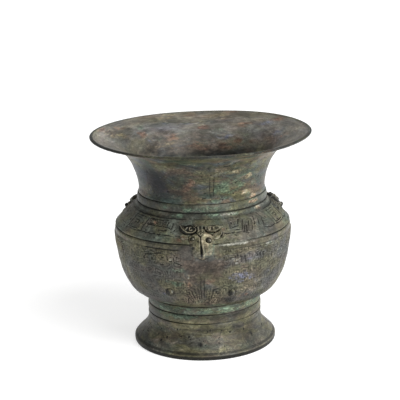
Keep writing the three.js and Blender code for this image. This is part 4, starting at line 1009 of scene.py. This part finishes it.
def make_head(tag, azimuth, seed):
    du = 0.32
    us, vs = np.arange(-27.2, 27.21, du), np.arange(-26.4, 18.4 if seed == 1 else 23.2, du)
    U, V = np.meshgrid(us, vs)
    w, low, de, base, (ink, lit) = head_field(U, V, seed)
    w = np.maximum(blur(blur(w, 0.75, 0, False), 0.75, 1, False), low)
    s, c = math.sin(azimuth * RAD), math.cos(azimuth * RAD)
    radial, up, across = np.array([s, -c, 0.0]), np.array([0, 0, 1.0]), np.array([c, s, 0.0])
    vv, ww = -TILT_Z * radial + TILT_R * up, TILT_R * radial + TILT_Z * up
    origin = HEAD_R * radial + HEAD_Z * up

    def place(height):
        return origin + U[..., None] * across + V[..., None] * vv + height[..., None] * ww

    top, bottom = place(w), place(low - 0.02)
    nv, nu = U.shape
    ident = np.arange(nv * nu).reshape(nv, nu)
    solid = (w - low) > 0.03
    cell = solid[:-1, :-1] | solid[1:, :-1] | solid[:-1, 1:] | solid[1:, 1:]
    a, b, c2, d = ident[:-1, :-1][cell], ident[:-1, 1:][cell], ident[1:, 1:][cell], ident[1:, :-1][cell]
    off = nv * nu
    quads = [np.stack([a, b, c2, d], -1), np.stack([a + off, d + off, c2 + off, b + off], -1)]
    # walls where the sculpted area ends, below the vessel's surface
    pad = np.pad(cell, 1)
    for dy, dx, p0, p1 in ((-1, 0, a, b), (0, 1, b, c2), (1, 0, c2, d), (0, -1, d, a)):
        nb = pad[1 + dy:pad.shape[0] - 1 + dy, 1 + dx:pad.shape[1] - 1 + dx][cell]
        e0, e1 = p0[~nb], p1[~nb]
        quads.append(np.stack([e1, e0, e0 + off, e1 + off], -1))
    quads = np.vstack(quads)
    sm = blur(blur(w, 1.2 / du, 0, False), 1.2 / du, 1, False)
    cav = np.clip((sm - w) / 0.75, -1, 1)
    pts = np.concatenate([top.reshape(-1, 3), bottom.reshape(-1, 3)])
    used, inv = np.unique(quads, return_inverse=True)
    quads = inv.reshape(quads.shape)
    keep = used
    pp = pts[keep]
    two = lambda f: np.concatenate([f.ravel(), np.zeros(f.size)])[keep]
    own = step(w - base, 0.3, 2.2)
    vals = {k: v * (1 - two(own)) for k, v in patches(pp, PATCH_OUT).items()}
    vals["cav"] = two(cav * (1 - eye_glint(U, V)))
    vals["within"] = np.zeros(len(pp))
    p5 = np.stack([U, V, U * 0 + seed], -1)
    n5 = step(fbm(p5, 5.0, 3, 91), 0.34, 0.62)
    pock, fleck = step(fbm(p5, 1.9, 2, 92), 0.64, 0.76), step(fbm(p5, 2.1, 2, 93), 0.62, 0.74)
    # painted light and shade: the right half of the face is painted lighter tan and the left half olive, as if lit from
    # the right; ink and lit carry painted shade and highlights from the cuts and ridges
    cheek = own * (1 - step(V, 4.0, 7.0))
    right = step(U, -0.4, 1.0) * (1 - 0.75 * step(U, 10.5, 15.5)) * (1 - 0.5 * step(-V, 13.0, 20.0))
    vals["dark"] = np.maximum(vals["dark"], two(np.maximum(ink, 0.45 * pock * cheek)))
    vals["tan"] = np.maximum(vals["tan"], two(np.maximum(lit, cheek * np.maximum(right * (0.50 + 0.35 * n5), 0.5 * fleck))))
    vals["olive"] = np.maximum(vals["olive"], two(cheek * (0.75 - 0.5 * right) + 0.55 * own * step(U, 2.5, 5.0) * step(V, 5.0, 7.5)))
    vals["green"] = np.maximum(vals["green"], two(0.55 * gauss((U - 20) / 6.0, 1) * gauss((V - 15) / 3.0, 1) + 0.5 * gauss(np.hypot(U + 22.4, V + 0.4), 1.8) + 0.35 * gauss(np.hypot((U - 17.5) / 2.0, V + 0.6), 1.2)))
    vals["rust"] = np.maximum(vals["rust"], two(0.75 * gauss(np.hypot(U + 20.5, V - 1.8), 1.5) + 0.6 * gauss(np.hypot((U - 6.2) / 2.0, V - 5.2), 1.1) + 0.6 * gauss(np.hypot(U - 24.4, V - 5.0), 1.2) + 0.5 * gauss(np.hypot((U - 6.5) / 1.2, (V + 15.5) / 1.6), 2.6)))
    vals["umber"] = np.maximum(vals["umber"], two(0.75 * own * step(-V, 18.5, 21.5)))
    # painted highlight on the right of each eye
    vals["pale"] = np.maximum(vals["pale"], two(eye_glint(U, V)))
    vals["lift"] = vals["lift"] - two(0.18 * own * step(V, 4.5, 7.0))
    # the tenon that goes through the shoulder's wall
    tdir = 0.700 * radial + 0.714 * up
    t0 = 91.9 * radial + 156.2 * up
    n, tw = 28, np.cross(tdir, across)
    ang = np.arange(n) * 2 * math.pi / n
    circle = np.cos(ang)[:, None] * across + np.sin(ang)[:, None] * tw
    tv = [t0 + s0 * tdir + r0 * circle for s0, r0 in ((-8.2, 2.9), (-7.7, 3.45), (1.4, 3.45))]
    tq = [ring_faces(i * n, (i + 1) * n, n) for i in range(2)]
    caps = np.vstack([t0 - 8.2 * tdir, t0 + 1.4 * tdir])
    first = len(pp)
    tpts = np.vstack(tv + [caps])
    j = np.arange(n)
    k2 = (j + 1) % n
    tq = np.vstack(tq)
    tt = np.vstack([np.stack([k2, j, np.full(n, 3 * n)], -1), np.stack([2 * n + j, 2 * n + k2, np.full(n, 3 * n + 1)], -1)])
    if np.dot(np.cross(across, tw), tdir) < 0:
        tq, tt = tq[:, ::-1], tt[:, ::-1]
    pp = np.vstack([pp, tpts])
    for k in vals:
        vals[k] = np.concatenate([vals[k], np.zeros(len(tpts))])
    return make_mesh("zun_head_" + tag, pp, tt + first, np.vstack([quads, tq + first]), vals, 62.0)


heads = {tag: make_head(tag, az, i + 1) for i, (tag, az) in enumerate(HEADS)}

# ------------------------------------------------------------------ chaplets in the floor


def make_chaplet(i):
    """A small rough plate of bronze set in the floor to hold the core, showing on both faces."""
    a = (45 + 90 * (i - 1)) * RAD
    lo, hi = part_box("floor_chaplet_%d" % i)
    centre = np.array([(lo.x + hi.x) / 2, (lo.y + hi.y) / 2]) * 1000.0
    side = 4.42
    n = 15
    g = np.linspace(-1, 1, n)
    X, Y = np.meshgrid(g, g)
    # an uneven, slightly rounded square
    def corner(x, y):
        k = 1 - 0.07 * np.minimum(np.abs(x), np.abs(y)) ** 3
        return x * side * k, y * side * k
    xx, yy = corner(X, Y)
    c, s = math.cos(a), math.sin(a)
    px, py = centre[0] + c * xx - s * yy, centre[1] + s * xx + c * yy
    r = np.hypot(px, py)
    floor_z = np.interp(r, [6, 20, 40, 62], [58.62, 58.8, 59.3, 61.2])
    edge = 1 - np.maximum(np.abs(X), np.abs(Y))
    p2 = np.stack([px, py, np.full_like(px, 9.0 * i)], -1)
    lump = (fbm(p2, 3.0, 3, 301) - 0.5) * 0.22
    up = floor_z - 0.12 + (0.34 + lump) * step(edge, 0.0, 0.22)
    dn = 55.2 + 0.12 - (0.34 + lump) * step(edge, 0.0, 0.22)
    top = np.stack([px, py, up], -1).reshape(-1, 3)
    bot = np.stack([px, py, dn], -1).reshape(-1, 3)
    ident = np.arange(n * n).reshape(n, n)
    q = np.stack([ident[:-1, :-1], ident[:-1, 1:], ident[1:, 1:], ident[1:, :-1]], -1).reshape(-1, 4)
    off = n * n
    loop = np.concatenate([ident[0, :-1], ident[:-1, -1], ident[-1, :0:-1], ident[:0:-1, 0]])
    nxt = np.roll(loop, -1)
    wall = np.stack([loop + off, nxt + off, nxt, loop], -1)
    pts = np.vstack([top, bot])
    vals = {k: np.zeros(len(pts)) for k in PATCH_NAMES}
    vals["cav"] = np.concatenate([(0.8 - 1.2 * step(edge, 0, 0.3)).ravel()] * 2)
    vals["within"] = np.zeros(len(pts))
    return make_mesh("zun_floor_chaplet_%d" % i, pts, np.zeros((0, 3), int), np.vstack([q, q[:, ::-1] + off, wall]), vals, 50.0)


chaplets = [make_chaplet(i) for i in (1, 2, 3, 4)]

# ------------------------------------------------------------------ materials


class Tree:
    """Short-hand for building a node material."""

    def __init__(self, name):
        self.mat = bpy.data.materials.new(name)
        self.mat.use_nodes = True
        self.nt = self.mat.node_tree
        self.bsdf = next(n for n in self.nt.nodes if n.type == "BSDF_PRINCIPLED")
        self.coord = self.nt.nodes.new("ShaderNodeTexCoord").outputs["Object"]

    def put(self, socket, value):
        if hasattr(value, "is_output"):
            self.nt.links.new(value, socket)
        elif isinstance(value, (tuple, list)) and len(value) == 3 and socket.type == "RGBA":
            socket.default_value = (*value, 1.0)
        else:
            socket.default_value = value

    def attr(self, name):
        n = self.nt.nodes.new("ShaderNodeAttribute")
        n.attribute_name = name
        return n.outputs["Fac"]

    def scaled(self, s, vec=None):
        n = self.nt.nodes.new("ShaderNodeVectorMath")
        n.operation = "MULTIPLY"
        self.put(n.inputs[0], vec or self.coord)
        n.inputs[1].default_value = s
        return n.outputs[0]

    def shifted(self, vec, other, amount):
        n = self.nt.nodes.new("ShaderNodeVectorMath")
        n.operation = "MULTIPLY_ADD"
        self.put(n.inputs[0], other)
        n.inputs[1].default_value = (amount,) * 3
        self.put(n.inputs[2], vec)
        return n.outputs[0]

    def along(self, vec, mask):
        """vec, changed to the directions round and along the wall where mask is 1."""
        c = self.nt.nodes.new("ShaderNodeCombineXYZ")
        for i, name in enumerate(("fx", "fy", "fs")):
            self.put(c.inputs[i], self.attr(name))
        n = self.nt.nodes.new("ShaderNodeMix")
        n.data_type = "VECTOR"
        self.put(n.inputs[0], mask)
        self.put(n.inputs[4], vec)
        self.put(n.inputs[5], c.outputs[0])
        return n.outputs[1]

    def noise(self, scale, detail=4.0, rough=0.55, vec=None, distort=0.0, colour=False):
        n = self.nt.nodes.new("ShaderNodeTexNoise")
        self.put(n.inputs["Vector"], vec or self.coord)
        n.inputs["Scale"].default_value = scale
        n.inputs["Detail"].default_value = detail
        n.inputs["Roughness"].default_value = rough
        n.inputs["Distortion"].default_value = distort
        return n.outputs["Color"] if colour else n.outputs[0]

    def cells(self, scale, vec=None, feature="F1"):
        n = self.nt.nodes.new("ShaderNodeTexVoronoi")
        n.feature = feature
        self.put(n.inputs["Vector"], vec or self.coord)
        n.inputs["Scale"].default_value = scale
        return n.outputs["Distance"]

    def range(self, x, lo, hi, a=0.0, b=1.0):
        n = self.nt.nodes.new("ShaderNodeMapRange")
        n.interpolation_type = "SMOOTHSTEP"
        self.put(n.inputs["Value"], x)
        n.inputs["From Min"].default_value, n.inputs["From Max"].default_value = lo, hi
        n.inputs["To Min"].default_value, n.inputs["To Max"].default_value = a, b
        return n.outputs["Result"]

    def math(self, op, a, b=None, clamp=False):
        n = self.nt.nodes.new("ShaderNodeMath")
        n.operation, n.use_clamp = op, clamp
        self.put(n.inputs[0], a)
        if b is not None:
            self.put(n.inputs[1], b)
        return n.outputs[0]

    def mix(self, a, b, fac, blend="MIX"):
        n = self.nt.nodes.new("ShaderNodeMix")
        n.data_type, n.blend_type = "RGBA", blend
        self.put(n.inputs[0], fac)
        self.put(n.inputs[6], a)
        self.put(n.inputs[7], b)
        return n.outputs[2]

    def ramp(self, fac, stops):
        n = self.nt.nodes.new("ShaderNodeValToRGB")
        self.put(n.inputs[0], fac)
        e = n.color_ramp.elements
        while len(e) < len(stops):
            e.new(0.5)
        for el, (pos, col) in zip(e, stops):
            el.position, el.color = pos, (*col, 1.0)
        return n.outputs[0]

    def bump(self, height, strength, distance, normal=None):
        n = self.nt.nodes.new("ShaderNodeBump")
        n.inputs["Strength"].default_value = strength
        n.inputs["Distance"].default_value = distance
        self.put(n.inputs["Height"], height)
        if normal is not None:
            self.put(n.inputs["Normal"], normal)
        return n.outputs[0]


def srgb(r, g, b, k=1.0):
    """Linear colour from 8-bit screen values."""
    return tuple(k * ((c / 255.0 / 12.92) if c / 255.0 <= 0.04045 else ((c / 255.0 + 0.055) / 1.055) ** 2.4) for c in (r, g, b))


def bronze(name, tint=(1.0, 1.0, 1.0), light=1.0, contrast=9.0, streak=1.0, rough=0.42, edge=1.0, ridge_tan=0.0, inner=(112, 108, 100), gloss=-0.08, cool=(76, 79, 79), flow=False, specks=0.75, vary=1.0, rub=(138, 133, 115), spread=0.3):
    """Old bronze: mottled grey, brown and green skin, placed patina with some painted shade and highlights among it,
    hollows darkened as earth and painted shade, and rubbed edges.
    """
    t = Tree(name)
    wob = t.noise(60.0, 3.0, 0.5, colour=True)
    within = t.attr("within")
    vec = t.shifted(t.coord, wob, 0.010)
    flat = t.scaled((1.0, 1.0, streak), vec)
    if flow:
        flat = t.shifted(t.along(t.scaled((1.0, 1.0, streak)), t.range(within, 0.02, 0.08)), wob, 0.007)
    broad = t.noise(19.0, 3.0, 0.55, flat)
    mid = t.noise(80.0, 6.0, 0.66, flat, 0.3)
    small = t.noise(330.0, 5.0, 0.66, flat)
    grain = t.noise(1500.0, 3.0, 0.6)
    tone = t.math("ADD", t.math("ADD", t.math("MULTIPLY", broad, 0.26), t.math("MULTIPLY", mid, 0.40)), t.math("MULTIPLY", small, 0.34))
    power = t.range(within, 0.02, 0.08, contrast, contrast * 0.78)
    lum = t.math("POWER", 2.0, t.math("MULTIPLY", t.math("SUBTRACT", tone, 0.5), power))
    lum = t.math("MULTIPLY", lum, t.range(grain, 0.25, 0.75, 0.86, 1.14))
    c = lambda r, g, b: tuple(x * y * light for x, y in zip(srgb(r, g, b), tint))
    hue = t.mix(c(92, 89, 66), c(*cool), t.range(t.noise(25.0, 4.0, 0.6, flat, 0.4), 0.41, 0.59))
    hue = t.mix(hue, c(90, 76, 63), t.math("MULTIPLY", t.range(t.noise(33.0, 4.0, 0.6, t.scaled((1.1, 1.0, 1.1), flat), 0.5), 0.46, 0.63), 0.80 * vary))
    hue = t.mix(hue, c(68, 82, 70), t.math("MULTIPLY", t.range(t.noise(28.0, 4.0, 0.62, t.scaled((1.2, 0.9, 1.2), flat), 0.3), 0.49, 0.66), 0.70 * vary))
    hue = t.mix(hue, tuple(x * light for x in srgb(*inner)), t.math("MULTIPLY", within, t.range(broad, 0.36, 0.64, 0.62, 0.86)))
    cav = t.attr("cav")
    sunk = t.range(cav, 0.06, 0.70)
    high = t.range(t.math("MULTIPLY", cav, -1.0), 0.10, 0.75)
    layers = (
        ("umber", (83, 72, 62), (101, 89, 78), 60.0, 0.80),
        ("olive", (82, 80, 60), (110, 106, 84), 110.0, 0.65),
        ("green", (66, 86, 73), (104, 124, 103), 95.0, 0.75),
        ("blue", (86, 88, 100), (108, 112, 132), 120.0, 0.70),
        # tan: tan crust and rubbed metal, and also painted light on the right half of each face and on the right belly
        # boss
        ("tan", (116, 105, 85), (156, 146, 121), 210.0, 0.75),
        ("rust", (106, 80, 66), (138, 106, 86), 130.0, 0.70),
        # pale: light crust, and also painted highlights on the crease, the lower string band, the left belly boss and
        # the eyes
        ("pale", (146, 147, 137), (185, 184, 171), 260.0, 0.70),
    )
    crust_and_painted_highlight = None
    for attr, c0, c1, scale, amount in layers:
        n = t.noise(scale, 6.0, 0.68, flat, 0.4)
        m = t.range(t.math("ADD", t.attr(attr), t.math("MULTIPLY", t.math("SUBTRACT", n, 0.5), 2.6)), 0.25, 0.95, 0.0, amount)
        m = t.math("MULTIPLY", m, t.range(t.attr(attr), 0.02, 0.30))
        if attr == "tan" and ridge_tan > 0:
            m = t.math("MULTIPLY", m, t.range(cav, -0.25, 0.15, 1.0, 1.0 - ridge_tan))
        hue = t.mix(hue, t.mix(srgb(*c0), srgb(*c1), t.range(small, 0.36, 0.64)), m)
        if attr in ("green", "tan", "pale"):
            crust_and_painted_highlight = m if crust_and_painted_highlight is None else t.math("MAXIMUM", crust_and_painted_highlight, m)
    skin = t.mix(hue, lum, 1.0, "MULTIPLY")
    # hollows darkened, partly earth and partly painted shade; bare metal rubbed on the edges
    skin = t.mix(skin, srgb(20, 21, 18), t.math("MULTIPLY", sunk, t.range(mid, 0.3, 0.7, 0.80, 0.97)))
    skin = t.mix(skin, srgb(*rub), t.math("MULTIPLY", high, t.range(small, 0.34, 0.64, 0.08 * edge, 0.60 * edge)))
    # placed dark: dirt and dark patina, and also painted shade on the neck's left, the lip's left, the crease's left,
    # the bosses' left sides and the heads' cuts
    dark_n = t.noise(240.0, 4.0, 0.62, flat)
    dark = t.range(t.math("MULTIPLY", t.attr("dark"), t.math("ADD", 0.45, t.math("MULTIPLY", dark_n, 1.1))), 0.15, 0.85, 0.0, 0.92)
    skin = t.mix(skin, srgb(25, 26, 24), dark)
    # dark specks and pits
    spk = t.cells(430.0, vec)
    speck = t.math("MULTIPLY", t.range(spk, 0.10, 0.26, 1.0, 0.0), t.range(t.noise(55.0, 3.0, 0.5), 0.46, 0.60))
    skin = t.mix(skin, srgb(36, 35, 30), t.math("MULTIPLY", speck, specks))
    # lighter or darker skin, in places painted shade on sides that face away from the light
    skin = t.mix(skin, t.math("ADD", 1.0, t.attr("lift")), 1.0, "MULTIPLY")
    # yellower or bluer, placed outside, and mottled inside the mouth
    mottle = t.math("MULTIPLY", t.math("SUBTRACT", t.noise(45.0, 6.0, 0.68, flat, 0.4), 0.5), t.range(within, 0.10, 1.0, spread, 2.2))
    warm = t.math("ADD", t.math("MULTIPLY", t.math("ADD", t.attr("warm"), mottle), 0.5), 0.5)
    skin = t.mix(skin, t.mix((0.94, 0.99, 1.30), (1.06, 1.01, 0.70), warm), 1.0, "MULTIPLY")
    ruddy = t.math("MULTIPLY", t.math("SUBTRACT", t.noise(95.0, 5.0, 0.66, flat, 0.3), 0.5), t.range(within, 0.10, 1.0, spread * 0.8, 1.6))
    skin = t.mix(skin, t.mix((0.90, 1.02, 1.0), (1.10, 0.98, 1.0), t.math("ADD", ruddy, 0.5)), 1.0, "MULTIPLY")
    t.put(t.bsdf.inputs["Base Color"], skin)
    t.bsdf.inputs["Metallic"].default_value = 0.15
    rg = t.math("ADD", t.range(mid, 0.30, 0.70, rough - 0.10, rough + 0.12), t.math("MULTIPLY", sunk, 0.20))
    rg = t.math("ADD", rg, t.math("MULTIPLY", crust_and_painted_highlight, 0.14))
    rg = t.math("SUBTRACT", rg, t.math("MULTIPLY", dark, gloss), clamp=True)
    t.put(t.bsdf.inputs["Roughness"], rg)
    t.bsdf.inputs["Specular IOR Level"].default_value = 0.22
    hgt = t.math("ADD", t.math("MULTIPLY", small, 0.7), t.math("MULTIPLY", grain, 0.22))
    hgt = t.math("SUBTRACT", hgt, t.math("MULTIPLY", speck, 0.5))
    hgt = t.math("ADD", hgt, t.math("MULTIPLY", crust_and_painted_highlight, 0.3))
    b1 = t.bump(hgt, 0.40, 0.0005)
    b2 = t.bump(mid, 0.28, 0.0014, b1)
    t.put(t.bsdf.inputs["Normal"], b2)
    return t.mat


def solder_metal():
    t = Tree("solder_metal")
    n = t.noise(300.0, 4.0, 0.6)
    t.put(t.bsdf.inputs["Base Color"], t.ramp(n, [(0.3, (0.10, 0.10, 0.10)), (0.7, (0.26, 0.26, 0.27))]))
    t.put(t.bsdf.inputs["Roughness"], t.range(n, 0.3, 0.7, 0.55, 0.75))
    t.bsdf.inputs["Metallic"].default_value = 0.7
    t.put(t.bsdf.inputs["Normal"], t.bump(n, 0.3, 0.0005))
    return t.mat


NECK = bronze("neck_bronze", (0.97, 1.0, 1.01), 1.00, 12.5, 2.2, 0.42, edge=0.35, inner=(116, 112, 104), flow=True)
SHOULDER = bronze("shoulder_bronze", (0.94, 1.0, 1.09), 1.10, 11.0, 1.4, 0.42, edge=0.9, cool=(82, 83, 72), vary=0.60)
BELLY = bronze("belly_bronze", (0.985, 1.0, 1.10), 1.00, 10.5, 1.3, 0.42, edge=2.3, rub=(146, 143, 126), ridge_tan=0.5, cool=(84, 83, 75), specks=0.35, vary=0.45)
FOOT = bronze("foot_bronze", (0.99, 1.0, 1.04), 0.94, 12.0, 2.6, 0.42, edge=0.40, cool=(82, 81, 72), vary=0.50, spread=1.0)
HEAD = bronze("head_bronze", (0.98, 1.0, 1.02), 1.06, 12.5, 1.3, 0.40, edge=0.9, gloss=0.18, cool=(82, 82, 74), rub=(138, 134, 120))
LOCK = bronze("lock_bronze", (0.9, 0.85, 0.78), 0.7, 8.0, 1.0, 0.6)
CHAPLET = bronze("chaplet_bronze", (1.1, 0.95, 0.8), 1.0, 8.0, 1.0, 0.52)
SOLDER = solder_metal()


def finish_piece(obj, mat, slot, *nodes):
    obj.data.materials.clear()
    obj.data.materials.append(mat)
    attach(obj, "root")
    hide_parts(*nodes)


finish_piece(neck, NECK, "neck_bronze", "mouth_and_neck")
finish_piece(shoulder, SHOULDER, "shoulder_bronze", "shoulder")
finish_piece(belly, BELLY, "belly_bronze", "belly_bowl")
finish_piece(foot, FOOT, "foot_bronze", "foot_ring")
for tag, obj in heads.items():
    finish_piece(obj, HEAD, "head_bronze", "head_" + tag)
for i, obj in enumerate(chaplets):
    finish_piece(obj, CHAPLET, "chaplet_bronze", "floor_chaplet_%d" % (i + 1))
for name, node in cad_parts.items():
    if name.startswith("head_lock"):
        mat = LOCK
    elif name.endswith("solder"):
        mat = SOLDER
    else:
        continue
    node.data.materials.clear()
    node.data.materials.append(mat)

# ------------------------------------------------------------------ floor, light and world


def make_floor():
    mesh = bpy.data.meshes.new("studio_floor")
    s = 14.0
    mesh.from_pydata([(-s, -s, -0.0002), (s, -s, -0.0002), (s, s, -0.0002), (-s, s, -0.0002)], [], [(0, 1, 2, 3)])
    floor = bpy.data.objects.new("studio_floor", mesh)
    bpy.context.scene.collection.objects.link(floor)
    t = Tree("pale_floor")
    n = t.noise(3.0, 3.0, 0.5)
    t.put(t.bsdf.inputs["Base Color"], t.ramp(n, [(0.3, (0.535, 0.535, 0.535)), (0.7, (0.545, 0.545, 0.542))]))
    t.bsdf.inputs["Roughness"].default_value = 0.9
    t.bsdf.inputs["Specular IOR Level"].default_value = 0.1
    # a lit table top, so that only a faint shadow is left on it
    t.bsdf.inputs["Emission Color"].default_value = (1.0, 1.0, 1.0, 1.0)
    t.bsdf.inputs["Emission Strength"].default_value = 0.68
    mesh.materials.append(t.mat)


def make_world():
    world = bpy.data.worlds.new("studio_world")
    world.use_nodes = True
    nt = world.node_tree
    nt.nodes.clear()
    out = nt.nodes.new("ShaderNodeOutputWorld")
    seen = nt.nodes.new("ShaderNodeBackground")
    seen.inputs[0].default_value, seen.inputs[1].default_value = (1, 1, 1, 1), 1.0
    soft = nt.nodes.new("ShaderNodeBackground")
    soft.inputs[1].default_value = 1.0
    # a soft room, darker on the left than on the right
    coord = nt.nodes.new("ShaderNodeTexCoord")
    axis = nt.nodes.new("ShaderNodeSeparateXYZ")
    nt.links.new(coord.outputs["Generated"], axis.inputs[0])
    side = nt.nodes.new("ShaderNodeMapRange")
    side.interpolation_type = "SMOOTHSTEP"
    for key, v in (("From Min", -0.9), ("From Max", 0.9), ("To Min", 0.25), ("To Max", 0.55)):
        side.inputs[key].default_value = v
    nt.links.new(axis.outputs["X"], side.inputs["Value"])
    nt.links.new(side.outputs["Result"], soft.inputs[0])
    path = nt.nodes.new("ShaderNodeLightPath")
    mix = nt.nodes.new("ShaderNodeMixShader")
    nt.links.new(path.outputs["Is Camera Ray"], mix.inputs[0])
    nt.links.new(soft.outputs[0], mix.inputs[1])
    nt.links.new(seen.outputs[0], mix.inputs[2])
    nt.links.new(mix.outputs[0], out.inputs[0])
    bpy.context.scene.world = world


def aim(obj, target):
    d = Vector(target) - obj.location
    obj.rotation_mode = "QUATERNION"
    obj.rotation_quaternion = d.to_track_quat("-Z", "Y")


def add_light(name, kind, place, target, energy, **kw):
    data = bpy.data.lights.new(name, kind)
    data.energy = energy
    for k, v in kw.items():
        setattr(data, k, v)
    obj = bpy.data.objects.new(name, data)
    obj.location = place
    aim(obj, target)
    bpy.context.scene.collection.objects.link(obj)
    return obj


make_floor()
make_world()
add_light("soft_key", "SUN", (2.0, -1.75, 2.9), (0, 0, 0.12), 2.3, angle=44 * RAD)
add_light("side_box", "AREA", (0.95, -0.85, 0.85), (0, 0, 0.15), 7.0, shape="RECTANGLE", size=0.5, size_y=0.7)
add_light("edge_box", "AREA", (1.25, 0.55, 0.45), (0, 0, 0.13), 3.0, shape="RECTANGLE", size=0.35, size_y=0.9)

view = bpy.context.scene.view_settings
view.view_transform = "Standard"
view.look = "None"
view.exposure = 0.0
view.gamma = 1.0
